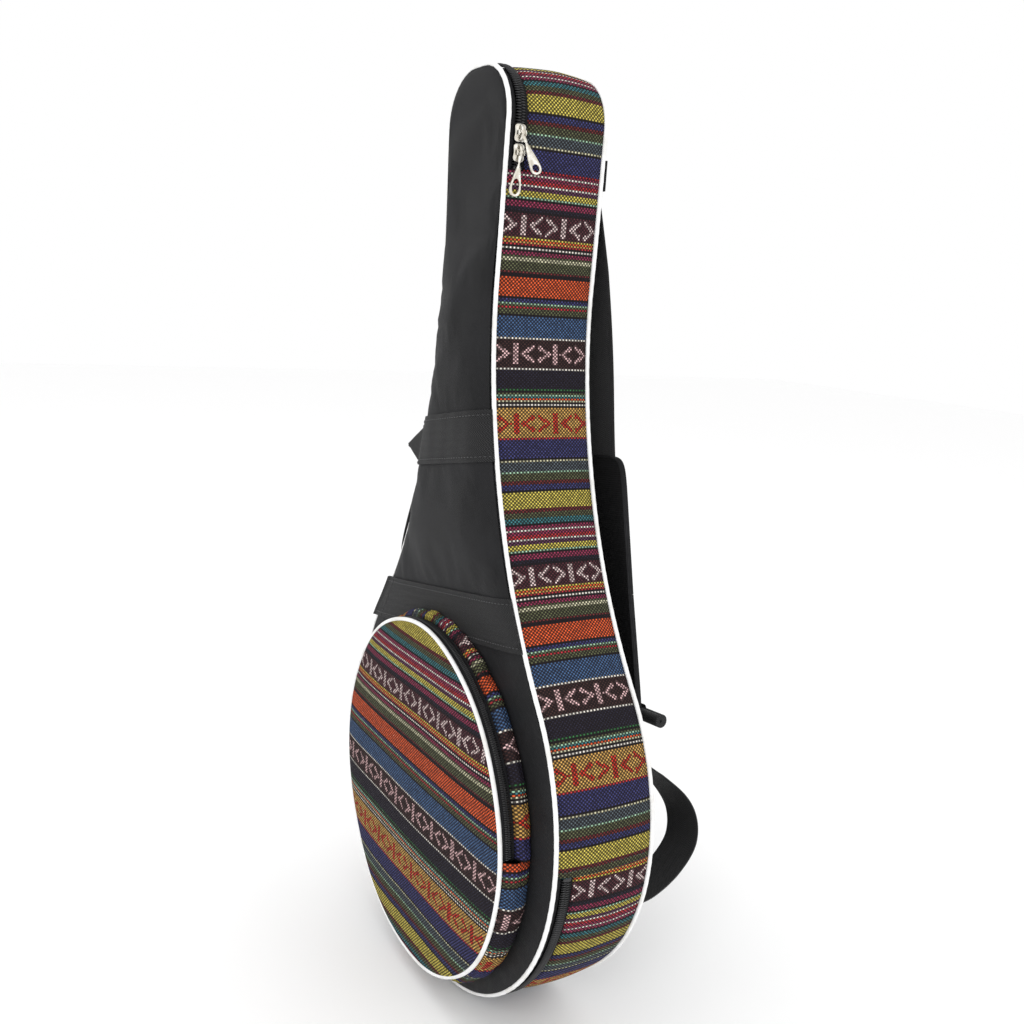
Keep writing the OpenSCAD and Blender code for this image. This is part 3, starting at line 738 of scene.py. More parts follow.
def makeFaceLining(name, depth, inwards, body, nodes):
    # foam wrapped in lining: a shallow quilted face whose edge turns back to the outer cloth
    x, z = spokeGrid(wallThickness + 0.5 * mm, 18, 260)
    distance = edgeDistance(x, z) - wallThickness
    quilt = 0.8 * mm * np.abs(np.sin((x + z) * 52) * np.sin((x - z) * 52)) ** 0.5
    face = depth + inwards * (swell(distance, 1.5 * mm, 6 * mm) + quilt * (distance > 12 * mm))
    grid = framed(x, face, z)
    skirt = framed(x[:, -1:], np.full_like(x[:, -1:], depth - inwards * 3.6 * mm), z[:, -1:])
    grid = np.concatenate([grid, skirt], 1)
    uv = np.stack([grid[..., 2], grid[..., 0]], -1)
    if inwards < 0:
        grid, uv = grid[:, ::-1], uv[:, ::-1]
    piece = gridPiece(name, grid[:, ::-1], uv[:, ::-1], [lining])
    thicken(piece, 0.8 * mm)
    if body == "fold":
        crossFold(piece, "lining", *nodes)
    else:
        setUp(piece, body, "lining", *nodes)


gusset = {
    "rise": 2.6 * mm,          # how far the cloth stands out between its seams
    "waves": 0.55 * mm,
    "hem": 6 * mm,
    # where along its cloth each strip lies: (place on the outline, place on the cloth)
    "hingeCloth": (np.array([0, 1]), np.array([0.7451, -0.2549])),
    # eased round the far side
    "zipCloth": (np.array([0.700, 0.870, 1.9334, 2.0334]), np.array([0.0866, 0.2566, 1.2116, 1.3116])),
}


def gussetProfile(depthFrom, depthTo, rise, count=14):
    t = np.linspace(0, 1, count)
    out = rise * np.sin(math.pi * t) ** 0.6 * (t > 0) * (t < 1)
    return np.stack([out, depthFrom + (depthTo - depthFrom) * t], -1)


def makeGusset(name, fromS, toS, depthFrom, cloth, lift, node):
    # woven strip between the seams; its ends are hemmed and rise a little over what lies under them
    count = int((toS - fromS) / (3 * mm)) + 2
    s = np.linspace(fromS, toS, count)
    profile = gussetProfile(depthFrom, caseDepth - 0.5 * pipingRadius, gusset["rise"])
    nearEnd = np.exp(-np.minimum(s - fromS, toS - s) / (4 * mm))
    shape = np.repeat(profile[None], count, 0)
    waves = ripple(s[:, None], profile[None, :, 1], gusset["waves"])
    edge = np.sin(math.pi * np.linspace(0, 1, profile.shape[0]))
    shape[..., 0] += (waves + 0.3 * mm) * edge + lift * (1 + 0.9 * nearEnd[:, None]) * edge**0.3
    uv = ringUv(s, profile)
    uv[..., 0] = np.interp(uv[..., 0], *cloth)
    grid = profileGrid(s, shape)[:, ::-1]
    piece = gridPiece(name, grid, uv[:, ::-1], [striped, lining])
    thicken(piece, 1.1 * mm, inside=1)
    return setUp(piece, "shell", "striped_cloth", node)


def makeGussets():
    low, high = alongAt(case["zipLow"]), alongAt(case["zipHigh"])
    hem = gusset["hem"]
    cloth = gusset["hingeCloth"]
    makeGusset("hingeSideGusset", low, high, 0.5 * pipingRadius, cloth, 0.7 * mm, "hinge_side_gusset")
    cloth = gusset["zipCloth"]
    end = outLength + low + hem
    makeGusset("zipSideGusset", high - hem, end, zipDepth - 1 * mm, cloth, 0, "zip_side_gusset")
    # inner face: foam under lining, over the whole gusset
    s = np.linspace(0, outLength, 500)
    inner = -wallThickness
    depths = np.where((s > low) & (s < high), 0.6 * pipingRadius, zipDepth + 1 * mm)
    t = np.linspace(0, 1, 10)[None, :]
    shape = np.stack([inner - 0.8 * mm * np.sin(math.pi * t) * np.ones_like(depths)[:, None],
                      depths[:, None] * (1 - t) + (caseDepth - 0.5 * wallThickness) * t], -1)
    shape[:, 0, 0] = -1.6 * mm
    uv = np.stack([np.repeat(s[:, None], 10, 1), shape[..., 1]], -1)
    piece = gridPiece("gussetLining", profileGrid(s, shape)[:, ::-1], uv[:, ::-1], [lining])
    thicken(piece, 0.8 * mm)
    setUp(piece, "shell", "lining", "gusset_lining", "hinge_side_foam", "zip_side_foam")


def hemStitches():
    # rows of stitches across the hinge-side strip's two hems
    low, high = alongAt(case["zipLow"]), alongAt(case["zipHigh"])
    for name, s in (("lowerHemStitches", low + 5 * mm), ("upperHemStitches", high - 5 * mm)):
        place, out = around([s])
        depths = np.linspace(4 * mm, caseDepth - 5 * mm, 20)
        line = framed(place[0, 0] + out[0, 0] * 3.2 * mm, depths, place[0, 1] + out[0, 1] * 3.2 * mm)
        stitchRow(name, line, "shell", "striped_cloth")


def stitchRow(name, line, body, slot, length=2.6 * mm, gap=1.3 * mm, radius=0.35 * mm):
    # small capsules laid end to end along a line; each bows into the cloth at its ends
    line = np.asarray(line)
    along = lengthAlong(line)
    starts = np.arange(gap / 2, along[-1] - length, length + gap)
    t = np.linspace(0, 1, 5)
    where = starts[:, None] + t * length
    centre = np.stack([np.interp(where, along, line[:, k]) for k in range(3)], -1)
    way = centre[:, -1] - centre[:, 0]
    way /= np.linalg.norm(way, axis=1, keepdims=True)
    sideways = np.cross(way, [0.31, 0.52, 0.79])
    sideways /= np.linalg.norm(sideways, axis=1, keepdims=True)
    third = np.cross(way, sideways)
    a = circle(6)
    size = radius * np.sin(math.pi * (0.08 + 0.84 * t)) ** 0.5 * np.array([0, 1, 1, 1, 0])
    ring = np.cos(a)[:, None] * sideways[:, None, None, :] + np.sin(a)[:, None] * third[:, None, None, :]
    points = centre[:, :, None, :] + size[None, :, None, None] * ring
    setUp(manyGrids(name, points, thread), body, slot)


def manyGrids(name, points, material):
    # many small closed grids (item, row, column, 3) in one mesh
    items, rows, columns = points.shape[:3]
    index = np.arange(items * rows * columns).reshape(items, rows, columns)
    corners = [index[:, :-1, :-1], index[:, 1:, :-1], index[:, 1:, 1:], index[:, :-1, 1:]]
    mesh = bpy.data.meshes.new(name)
    mesh.from_pydata(points.reshape(-1, 3), [], np.stack(corners, -1).reshape(-1, 4))
    mesh.materials.append(material)
    return showMesh(name, mesh, 60, True)


def makePipings():
    # cords of vinyl round both seams, with a faint unevenness where the stitches pull
    for name, depth, body in (("frontPiping", 0.0, "fold"), ("rearPiping", caseDepth, "shell")):
        s = np.linspace(0, outLength, 721)
        pull = 0.12 * mm * np.sin(s * 700) + 0.25 * mm * np.sin(s * 37)
        shape = np.repeat(circleProfile(cordRadius, 14, 0.1 * pipingRadius, depth)[None], len(s), 0)
        shape[..., 0] += pull[:, None]
        piece = gridPiece(name, profileGrid(s, shape), ringUv(s, shape[0]), [vinyl], closed=True)
        if body == "fold":
            crossFold(piece, "white_piping", "neck_piping", "lid_piping")
        else:
            setUp(piece, body, "white_piping", "rear_piping")


mainZip = {
    "tape": 3.2 * mm,
    "coil": 7.6 * mm,
    "pitch": 1.9 * mm,           # from one turn of the coil to the next
    "wireRise": 1.3 * mm,
    "wireRadius": 0.62 * mm,
}
zipDepth = pipingRadius + 2 * mainZip["tape"] + mainZip["coil"]
coilDepth = zipDepth / 2 + pipingRadius / 2


def ringTape(name, s, depthFrom, depthTo):
    # one half of the zip's woven tape
    profile = np.stack([np.full(5, -0.5 * mm), np.linspace(depthFrom, depthTo, 5)], -1)
    uv = ringUv(s, profile)
    piece = gridPiece(name, profileGrid(s, profile)[:, ::-1], uv[:, ::-1], [tapeCloth])
    thicken(piece, 0.8 * mm)
    return piece


def coilTeeth(name, s, depthFrom, depthTo):
    # one arched wire per turn: it leaves the tape, rises to the zip's middle and turns down there
    height, radius = mainZip["wireRise"], mainZip["wireRadius"]
    place, out = around(s)
    t = np.linspace(0, 1, 6)
    depth = depthFrom + (depthTo - depthFrom) * t
    rise = height * np.sin(math.pi * (0.12 + 0.70 * t))
    a = circle(6)
    tangent = np.stack([out[:, 1], -out[:, 0]], -1)
    centre = place[:, None, :] + out[:, None, :] * rise[None, :, None]
    ringOut = radius * np.cos(a)
    ringAlong = radius * np.sin(a) * np.array([0.4, 1, 1, 1, 1, 0.4])[:, None]
    xz = centre[:, :, None, :] + out[:, None, None, :] * ringOut[None, None, :, None]
    xz = xz + tangent[:, None, None, :] * ringAlong[None, :, :, None]
    points = framed(xz[..., 0], depth[None, :, None] + 0 * xz[..., 0], xz[..., 1])
    return manyGrids(name, points, coilPlastic)


def makeMainZip():
    # from the hinge side's top, over the head, down the far side and round the bottom
    low, high = alongAt(case["zipLow"]), alongAt(case["zipHigh"])
    s = np.arange(high, outLength + low, 4 * mm)
    z = mainZip
    front = ringTape("frontZipTape", s, 0.4 * pipingRadius, pipingRadius + z["tape"])
    crossFold(front, "zip_tape", "zip_tape_head", "zip_tape_lid")
    back = ringTape("caseZipTape", s, zipDepth - z["tape"], zipDepth + 1 * mm)
    setUp(back, "shell", "zip_tape", "zip_tape_shell")
    turns = np.arange(high + 1 * mm, outLength + low - 1 * mm, z["pitch"])
    edge = z["coil"] / 2
    front = coilTeeth("frontZipCoil", turns, coilDepth - edge, coilDepth + 0.7 * mm)
    crossFold(front, "zip_coil", "zip_coil_head", "zip_coil_lid")
    back = coilTeeth("caseZipCoil", turns + z["pitch"] / 2, coilDepth + edge, coilDepth - 0.7 * mm)
    setUp(back, "shell", "zip_coil", "zip_coil_shell")
    stops = []
    for s0 in (high + 1.5 * mm, low - 1.5 * mm):
        place, out = around([s0])
        tangent = np.array([-out[0, 1], out[0, 0]])
        stops.append(stopBar(place[0] + out[0] * 1.4 * mm, tangent, out[0]))
    setUp(manyGrids("zipStops", np.array(stops), coilPlastic), "shell", "zip_coil", "zip_stops")


def stopBar(centre, tangent, out):
    # a rounded bar across the zip, of superellipse section
    t = np.linspace(-1, 1, 9)
    size = (1 - np.abs(t) ** 4) ** 0.5
    a = circle(11)
    wide = tangent * (1.5 * mm * rounded(np.cos(a), 0.6))[None, :, None]
    high = out * (0.8 * mm * rounded(np.sin(a), 0.6))[None, :, None]
    xz = centre + size[:, None, None] * (wide + high)
    depth = coilDepth + (t * mainZip["coil"] / 2)[:, None]
    return framed(xz[..., 0], depth + 0 * xz[..., 0], xz[..., 1])


bandTilt = math.radians(10.5)
bandWidth = 38 * mm
webThickness = 1.6 * mm
bands = {
    "upperBand": {"z": 450 * mm, "node": "upper_band", "fold": 0.10},
    "lowerBand": {"z": 311 * mm, "node": "lower_band", "fold": 0.07},
}


def bandEnds(z0, across):
    # where a line along the band meets the outline on each side, found by repeated substitution
    ends = []
    for side, over in ((-1, 4.5 * mm), (1, 0.6 * mm)):
        x = np.zeros_like(across)
        for _ in range(14):
            z = z0 + across / math.cos(bandTilt) + x * math.tan(bandTilt)
            x = side * (halfWidth(z) + over)
        ends.append(x)
    return ends


def makeBands():
    for name, band in bands.items():
        across = np.linspace(-bandWidth / 2, bandWidth / 2, 11)
        left, right = bandEnds(band["z"], across)
        t = 0.5 - 0.5 * np.cos(np.linspace(0, math.pi, 70))
        x = left[None] + (right - left)[None] * t[:, None]
        z = band["z"] + across[None] / math.cos(bandTilt) + x * math.tan(bandTilt)
        inside = np.where(np.abs(x) < halfWidth(z), edgeDistance(x, z), 0)
        depth = frontDepth(x, z, inside) - webThickness
        depth = depth + 0.15 * mm * np.sin(x * 300)
        grid = framed(x, depth, z)
        uv = np.stack([x / math.cos(bandTilt), np.repeat(across[None], len(t), 0)], -1)
        if name == "lowerBand":
            grid, uv = trimAtPocket(grid, uv)
        piece = gridPiece(name, grid, uv, [webbing])
        thicken(piece, webThickness)
        softenEdges(piece, 0.5 * mm)
        setUp(piece, "lid", "webbing", band["node"])
        for edge, k in (("Low", 1), ("High", -2)):
            line = grid[2:-2, k] + np.array([0, -0.25 * mm, 0])
            stitchRow(name + "Stitches" + edge, line, "lid", "webbing")
        foldAt = np.searchsorted(t, band["fold"])
        stitchRow(f"{name}EndStitches", grid[foldAt] + np.array([0, -0.3 * mm, 0]), "lid", "webbing")


def softenEdges(piece, width):
    bevel = piece.modifiers.new("edges", "BEVEL")
    bevel.width = width
    bevel.segments = 2
    bevel.limit_method = "ANGLE"
    bevel.angle_limit = math.radians(50)
    applyModifiers(piece)
    smoothMesh(piece.data, 50)


def trimAtPocket(grid, uv):
    # the band's lower edge ends at the pocket's rim: points inside the rim are drawn up to it
    x = grid[..., 0]
    z = grid[..., 2] - pipingRadius
    reach = pocket["radius"] - 2 * mm
    rim = pocket["z"] + np.sqrt(np.maximum(reach**2 - x**2, 0))
    lifted = np.where(np.abs(x) < reach, np.maximum(z, rim), z)
    top = z[:, -1:]
    lifted = np.minimum(lifted, top - 0.5 * mm * (1 - np.linspace(0, 1, z.shape[1]))[None])
    grid = grid.copy()
    grid[..., 2] = lifted + pipingRadius
    inside = edgeDistance(x, lifted)
    grid[..., 1] = frontSeam + frontDepth(x, lifted, inside) - webThickness
    uv = uv.copy()
    uv[..., 1] += (lifted - z) * math.cos(bandTilt)
    return grid, uv


pocket = {
    "radius": 142 * mm,
    "z": 159 * mm,
    "reach": 26 * mm,
    "tape": 2.2 * mm,
    "coil": 5 * mm,
    "crown": 3.2 * mm,
    "puff": 5.0 * mm,            # how far the side stands out, and how much more at its gathers
    "gather": 2.4 * mm,
    "zipEnd": math.radians(5),
    "tabAt": math.radians(236),
    "stripeTilt": math.radians(1.5),
    "frontCloth": 288 * mm + 154 * weave["rowPitch"] * mm,
    "sideCloth": 956.8 * mm,
}
pocketHinge = pocket["z"] + pocket["radius"] * math.sin(pocket["zipEnd"])
pocketFace = -pocket["reach"]


def crossPocketFold(piece, slot, *nodes):
    z = pocketHinge + pipingRadius
    cross(piece, ("lid", "pocket_flap"), (0, 0, z - 9 * mm), (0, 0, z + 12 * mm), slot, *nodes)


def pocketRing(angles, profile):
    # a profile of (outwards, depth) carried round the pocket's rim
    profile = np.broadcast_to(profile, (len(angles),) + profile.shape[-2:])
    radius = pocket["radius"] + profile[..., 0]
    x = radius * np.cos(angles)[:, None]
    z = pocket["z"] + radius * np.sin(angles)[:, None]
    return framed(x, profile[..., 1], z)


def makePocketFront():
    # padded woven disc, swelling from its rim; stripes run level across it
    angles = circle(241)
    t = np.sin(np.linspace(0, math.pi / 2, 26))
    radius = (pocket["radius"] - 0.5 * pipingRadius) * t
    x = radius[None] * np.cos(angles)[:, None]
    z = pocket["z"] + radius[None] * np.sin(angles)[:, None]
    rise = swell(pocket["radius"] - np.repeat(radius[None], 241, 0), pocket["crown"], 18 * mm)
    depth = pocketFace - 0.4 * pipingRadius - rise + 0.5 * mm * np.sin(x * 40 + 1) * np.sin(z * 33)
    down = pocket["frontCloth"] - z + x * math.tan(pocket["stripeTilt"])
    uv = np.stack([down, x + 5 * mm], -1)
    piece = gridPiece("pocketFront", framed(x, depth, z)[:, ::-1], uv[:, ::-1], [striped, lining])
    co = coordinates(piece)
    held = np.hypot(co[:, 0], co[:, 2] - pipingRadius - pocket["z"]) > pocket["radius"] - 2.5 * mm
    puffUp(piece, held, 0.15, 1.5 * mm)
    thicken(piece, 2 * mm, inside=1)
    crossPocketFold(piece, "striped_cloth", "pocket_front_lower", "pocket_front_flap")


def makePocketSides():
    # woven side gathered at the seams, narrower along the zip; then piping, tapes and coils
    p = pocket
    zipTo = p["zipEnd"]
    backEdge = pocketFace + 2 * p["tape"] + p["coil"] + pipingRadius
    frontSide = pocketFace + 0.6 * pipingRadius
    for name, start, end, frontEdge, nodes in (
            ("pocketSideUpper", zipTo, math.pi - zipTo, backEdge, ()),
            ("pocketSideLower", math.pi - zipTo, 2 * math.pi + zipTo, frontSide, ("pocket_gusset",))):
        angles = np.linspace(start, end, 181)
        t = np.linspace(0, 1, 12)
        x, z = p["radius"] * np.cos(angles), p["z"] + p["radius"] * np.sin(angles)
        base = frontDepth(x, z) + 1.5 * mm
        depth = frontEdge + (base[:, None] - frontEdge) * t
        arcLength = angles * p["radius"]
        gather = np.abs(np.sin(arcLength * 95 + 1.2 * np.sin(arcLength * 31)))[:, None] ** 0.7
        puff = (p["puff"] + p["gather"] * gather) * np.sin(math.pi * t[None]) ** 0.7
        crease = 1.1 * mm * np.exp(-((t[None] - 0.5 - 0.12 * np.sin(arcLength[:, None] * 22)) / 0.07) ** 2)
        profile = np.stack([puff - crease, depth], -1)
        uv = np.stack([np.repeat((p["sideCloth"] - arcLength)[:, None], 12, 1), depth], -1)
        grid = pocketRing(angles, profile)[:, ::-1]
        piece = gridPiece(name, grid, uv[:, ::-1], [striped, lining])
        thicken(piece, 1.2 * mm, inside=1)
        setUp(piece, "lid", "striped_cloth", *nodes)
    angles = circle(421)
    shape = np.repeat(circleProfile(cordRadius, 14, 0, pocketFace)[None], 421, 0)
    shape[..., 0] += (0.3 * mm * np.sin(angles * 9 + 0.6))[:, None]
    uv = ringUv(angles * p["radius"], shape[0])
    piece = gridPiece("pocketPiping", pocketRing(angles, shape), uv, [vinyl], closed=True)
    crossPocketFold(piece, "white_piping", "pocket_piping_lower", "pocket_piping_flap")
    angles = np.linspace(zipTo, math.pi - zipTo, 160)
    back = pocketFace + pipingRadius
    coilMiddle = back + p["tape"] + p["coil"] / 2
    edge = p["coil"] / 2 - 0.6 * mm
    for name, low, high in (("Flap", pocketFace + 0.4 * pipingRadius, coilMiddle - edge),
                            ("Base", coilMiddle + edge, backEdge + 1 * mm)):
        profile = np.stack([np.full(5, -0.2 * mm), np.linspace(low, high, 5)], -1)
        uv = ringUv(angles * p["radius"], profile)
        grid = pocketRing(angles, profile)[:, ::-1]
        piece = gridPiece("pocket" + name + "Tape", grid, uv[:, ::-1], [tapeCloth])
        thicken(piece, 0.8 * mm)
        if name == "Flap":
            crossPocketFold(piece, "zip_tape", "pocket_tape_flap")
        else:
            setUp(piece, "lid", "zip_tape", "pocket_tape_base")
    pocketCoil("pocketFlapCoil", angles, coilMiddle, -1, "pocket_coil_flap")
    pocketCoil("pocketBaseCoil", angles, coilMiddle, 1, "pocket_coil_base")


def pocketCoil(name, angles, middle, side, node):
    pitch = 1.6 * mm / pocket["radius"]
    turns = np.arange(angles[0] + pitch, angles[-1] - pitch, pitch) + (pitch / 2 if side > 0 else 0)
    t = np.linspace(0, 1, 6)
    depth = middle + side * (pocket["coil"] / 2 - (pocket["coil"] / 2 + 0.5 * mm) * t)
    rise = 1.1 * mm * np.sin(math.pi * (0.12 + 0.7 * t))
    a = circle(6)
    radius = pocket["radius"] + rise[None, :, None] + 0.5 * mm * np.cos(a)
    swing = turns[:, None, None] + 0.5 * mm / pocket["radius"] * np.sin(a)
    x = radius * np.cos(swing)
    z = pocket["z"] + radius * np.sin(swing)
    points = framed(x, depth[None, :, None] + 0 * x, z)
    piece = manyGrids(name, points, coilPlastic)
    if side < 0:
        crossPocketFold(piece, "zip_coil", node)
    else:
        setUp(piece, "lid", "zip_coil", node)


def makePocketTab():
    # folded webbing tab sewn under the pocket's piping
    angle = pocket["tabAt"]
    t = np.linspace(0, 1, 13)
    along = np.concatenate([16 * mm * t, 16 * mm * (1 - t)[1:]])
    out = np.concatenate([1.2 * mm + 0.8 * mm * t, (3.6 * mm - 0.8 * mm * (1 - t))[1:]])
    width = np.linspace(-10 * mm, 10 * mm, 9)
    swing = angle + width / pocket["radius"]
    radius = pocket["radius"] + out[:, None]
    x = radius * np.cos(swing)
    z = pocket["z"] + radius * np.sin(swing)
    grid = framed(x, (pocketFace + along)[:, None] + 0 * x, z)
    uv = np.stack([np.repeat(along[:, None], 9, 1), np.repeat(width[None], 25, 0)], -1)
    piece = gridPiece("pocketTab", grid, uv, [webbing])
    thicken(piece, 1 * mm)
    setUp(piece, "lid", "webbing", "pocket_tab")


def smoothPath(keys, count):
    # Catmull-Rom curve through the key points, ends doubled
    keys = np.asarray(keys, float)
    padded = np.concatenate([2 * keys[:1] - keys[1:2], keys, 2 * keys[-1:] - keys[-2:-1]])
    u = np.linspace(0, len(keys) - 1 - 1e-9, count)
    i = u.astype(int)
    t = (u - i)[:, None]
    a, b, c, d = (padded[i + k] for k in range(4))
    return 0.5 * (2 * b + (c - a) * t + (2 * a - 5 * b + 4 * c - d) * t**2 + (3 * b - a - 3 * c + d) * t**3)


def makeHandle():
    # webbing from one band's end to the other's: each corner folds round to the bag's side
    low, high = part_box("carry_handle")
    bow, depthNear, depthFar = 8 * mm, 8 * mm, high.y - frontSeam + 7 * mm
    joint = [j for j in frame["joints"] if j["name"] == "handle_swing"][0]
    axis = np.array(joint["axis"])[[0, 2]]
    outward = np.array([-axis[1], axis[0]])
    top = np.array(joint["pos_m"])[[0, 2]] - [0, pipingRadius]
    lowEnd = np.array([low.x, low.z - pipingRadius])
    length = (top[1] - lowEnd[1]) / axis[1]

    def base(u):
        return top - axis * length * u + outward * (bow * math.sin(math.pi * u) + 1.2 * mm)

    corners = []
    for name, edge in (("upperBand", 1), ("upperBand", -1), ("lowerBand", 1), ("lowerBand", -1)):
        across = np.array([edge * (bandWidth / 2 - 1 * mm)])
        x = bandEnds(bands[name]["z"], across)[0][0]
        z = bands[name]["z"] + across[0] / math.cos(bandTilt) + x * math.tan(bandTilt)
        corners.append(np.array([x + 2 * mm, -pipingRadius - 1.0 * mm, z]))
    upperHigh, upperLow, lowerHigh, lowerLow = corners
    out = np.array([outward[0], 0, outward[1]])
    back = np.array([0, 1.0, 0])
    down = np.array([-axis[0], 0, -axis[1]])
    middle = [np.array([base(u)[0], 0, base(u)[1]]) for u in (0.3, 0.5, 0.7)]

    def off(corner, outBy, backBy, downBy=0):
        return corner + (outBy * out + backBy * back + downBy * down) * mm

    near = [upperLow, off(upperLow, 30, 1), off(upperLow, 12, 14, 12)]
    near += [point + depthNear * back for point in middle]
    near += [off(lowerHigh, 4, 9, -8), off(lowerHigh, 1, 3), lowerHigh]
    rear = [upperHigh, off(upperHigh, 3, 6, 6), off(upperHigh, 8, 26, 26)]
    rear += [point + depthFar * back for point in middle]
    rear += [off(lowerHigh, 6, 26, 10), off(lowerLow, 6, 8), lowerLow]
    rails = [smoothPath(rail, 90) for rail in (near, rear)]
    t = np.linspace(0, 1, 11)[None, :, None]
    grid = rails[0][:, None] * (1 - t) + rails[1][:, None] * t
    cup = 1.5 * mm * np.sin(math.pi * t[..., 0])
    grid[..., 0] -= cup
    grid = framed(grid[..., 0], grid[..., 1], grid[..., 2])
    along = np.linspace(0, length + 60 * mm, 90)
    uv = clothUv(along, np.linspace(0, 34 * mm, 11))
    piece = gridPiece("carryHandle", grid[::-1], uv[::-1], [webbing])
    stitchLines = [grid[6:-6, k] + np.array([-0.4 * mm, 0, 0]) for k in (1, -2)]
    thicken(piece, 2 * mm)
    softenEdges(piece, 0.5 * mm)
    middle = (top + lowEnd) / 2
    start = Vector(framed(middle[0], -2 * mm, middle[1]))
    end = start + Vector((outward[0] * 0.5, 0.87, outward[1] * 0.5)) * 12 * mm
    cross(piece, ("lid", "handle"), start, end, "webbing", "carry_handle")
    for number, line in enumerate(stitchLines):
        stitchRow(f"handleStitches{number + 1}", line[12:-12], "handle", "webbing")


strap = {
    "topX": 20 * mm,
    "topZ": 640 * mm,
    "spread": math.radians(7.2),
    "webWidth": 32 * mm,
    "webLength": 200 * mm,
    "padWidth": 54 * mm,
    "padThickness": 9 * mm,
    "padLength": 215 * mm,
    "tailWidth": 30 * mm,
    "lowZ": 100 * mm,
    "lowX": 124 * mm,
    "buckle": 26 * mm,
    "roll": 6.5 * mm,
    # how far the padding's inner face stands off the back, at distances down the strap
    "standAt": np.array([0, 60, 120, 200, 300, 415, 460]) * mm,
    "stand": np.array([0.5, 7, 12, 14, 22, 34, 38]) * mm,
    # the tail's middle line below the buckle: sideways, off the back, up; in mm
    "tail": [(9, 68, -22), (27, 82, -44), (38, 79, -66), (44, 60, -84), (47.5, 34, -96), (48.5, 9, -100),
             (48.5, 3, -108), (48.5, 2.6, -119)],
}


def strapOff(l):
    # a smooth line through the stand-off distances: the mean over 30 mm each way
    steps = np.linspace(-30 * mm, 30 * mm, 21)
    near = np.asarray(l, float)[..., None] + steps * (np.clip(l, 0, 30 * mm) / (30 * mm))[..., None]
    return np.interp(near, strap["standAt"], strap["stand"]).mean(-1)


def strapPoint(side, across, off, l):
    # the strap's own measures to the frame
    p = strap
    sway = math.sin(p["spread"]) * side
    x = side * p["topX"] + across * math.cos(p["spread"]) + l * sway
    z = p["topZ"] + across * sway - l * math.cos(p["spread"])
    return framed(x, rearFace + off, z)


def makeStraps():
    for side, word in ((1, "right"), (-1, "left")):
        body = word + "_strap"
        makeStrapWeb(side, word, body)
        makeStrapPad(side, word, body)
        makeBuckle(side, word, body)
        makeWebbingRoll(side, word, body)
        makeTail(side, word, body)
        makeStrapTab(side, word)
    makeAnchorPatch()


def makeStrapWeb(side, word, body):
    p = strap
    l = np.linspace(-16 * mm, p["webLength"] + 8 * mm, 80)
    across = np.linspace(-p["webWidth"] / 2, p["webWidth"] / 2, 9)
    clear = strapOff(np.maximum(l, 0)) + 3 * mm * np.clip(l / (60 * mm), 0, 1)
    off = np.where(l < 0, 0.7 * mm, clear) + 1.6 * mm
    grid = strapPoint(side, across[None], off[:, None], l[:, None] + 0 * across[None])
    uv = clothUv(l, across)
    piece = gridPiece(word + "StrapWeb", grid[:, ::-1], uv[:, ::-1], [webbing])
    thicken(piece, 1.6 * mm)
    softenEdges(piece, 0.4 * mm)
    top = Vector(strapPoint(side, 0, 0, 0).tolist())
    start, end = top + Vector((0, 0, 3 * mm)), top - Vector((0, 0, 14 * mm))
    cross(piece, ("shell", body), start, end, "webbing", word + "_strap_web")
    for number, k in enumerate((1, -2)):
        line = strapPoint(side, across[k], off[22:-6] + 0.3 * mm, l[22:-6])
        stitchRow(f"{word}StrapWebStitches{number + 1}", line, body, "webbing")


def makeStrapPad(side, word, body):
    # a padded strap: superellipse section whose width and thickness close over its ends
    p = strap
    t = np.linspace(0, 1, 64)
    l = p["webLength"] + p["padLength"] * (0.5 - 0.5 * np.cos(math.pi * t))
    fromEnd = np.minimum(l - p["webLength"], p["webLength"] + p["padLength"] - l)
    rounding = np.sqrt(np.clip(1 - (1 - np.clip(fromEnd / (16 * mm), 0, 1)) ** 2, 0, 1))
    width = (p["padWidth"] / 2 - 1 * mm) * (0.45 + 0.55 * rounding) * (fromEnd > 0)
    thick = (p["padThickness"] / 2 - 0.6 * mm) * (0.12 + 0.88 * rounding**0.8) * (fromEnd > 0)
    a = circle(41)
    across = width[:, None] * rounded(np.cos(a), 0.55)
    lift = thick[:, None] * rounded(np.sin(a), 0.75)
    off = strapOff(l)[:, None] + p["padThickness"] / 2 + lift
    grid = strapPoint(side, across, off, l[:, None] + 0 * across)
    uv = np.stack([l[:, None] + 0 * across, across + lift], -1)
    piece = gridPiece(word + "StrapPad", grid, uv, [strapMesh], closed=True)
    co = coordinates(piece)
    held = np.zeros(len(co), bool)
    held[np.argsort(co[:, 2])[:12]] = True
    held[np.argsort(-co[:, 2])[:12]] = True
    puffUp(piece, held, 0.6, 1.4 * mm, stretch=0.015)
    refine(piece)
    setUp(piece, body, "strap_mesh", word + "_strap_pad")
    # bound edge: a folded tape round the pad's rim
    turn = circle(241)
    rimAcross = (p["padWidth"] / 2 - 0.8 * mm) * rounded(np.cos(turn), 0.35)
    half = p["padLength"] / 2
    rimL = p["webLength"] + half + (half - 0.8 * mm) * rounded(np.sin(turn), 0.16)
    b = circle(11)
    centreAcross = rimAcross[:, None] * (1 + 0.9 * mm * np.cos(b) / (p["padWidth"] / 2))
    centreL = rimL[:, None] + 0.9 * mm * np.cos(b) * np.sin(turn)[:, None]
    offs = strapOff(rimL)[:, None] + p["padThickness"] / 2 + 2.6 * mm * np.sin(b)
    grid = strapPoint(side, centreAcross, offs, centreL)
    uv = clothUv(turn * 0.09, b * 2 * mm)
    piece = gridPiece(word + "PadBinding", grid, uv, [tapeCloth], closed=True)
    setUp(piece, body, "webbing")


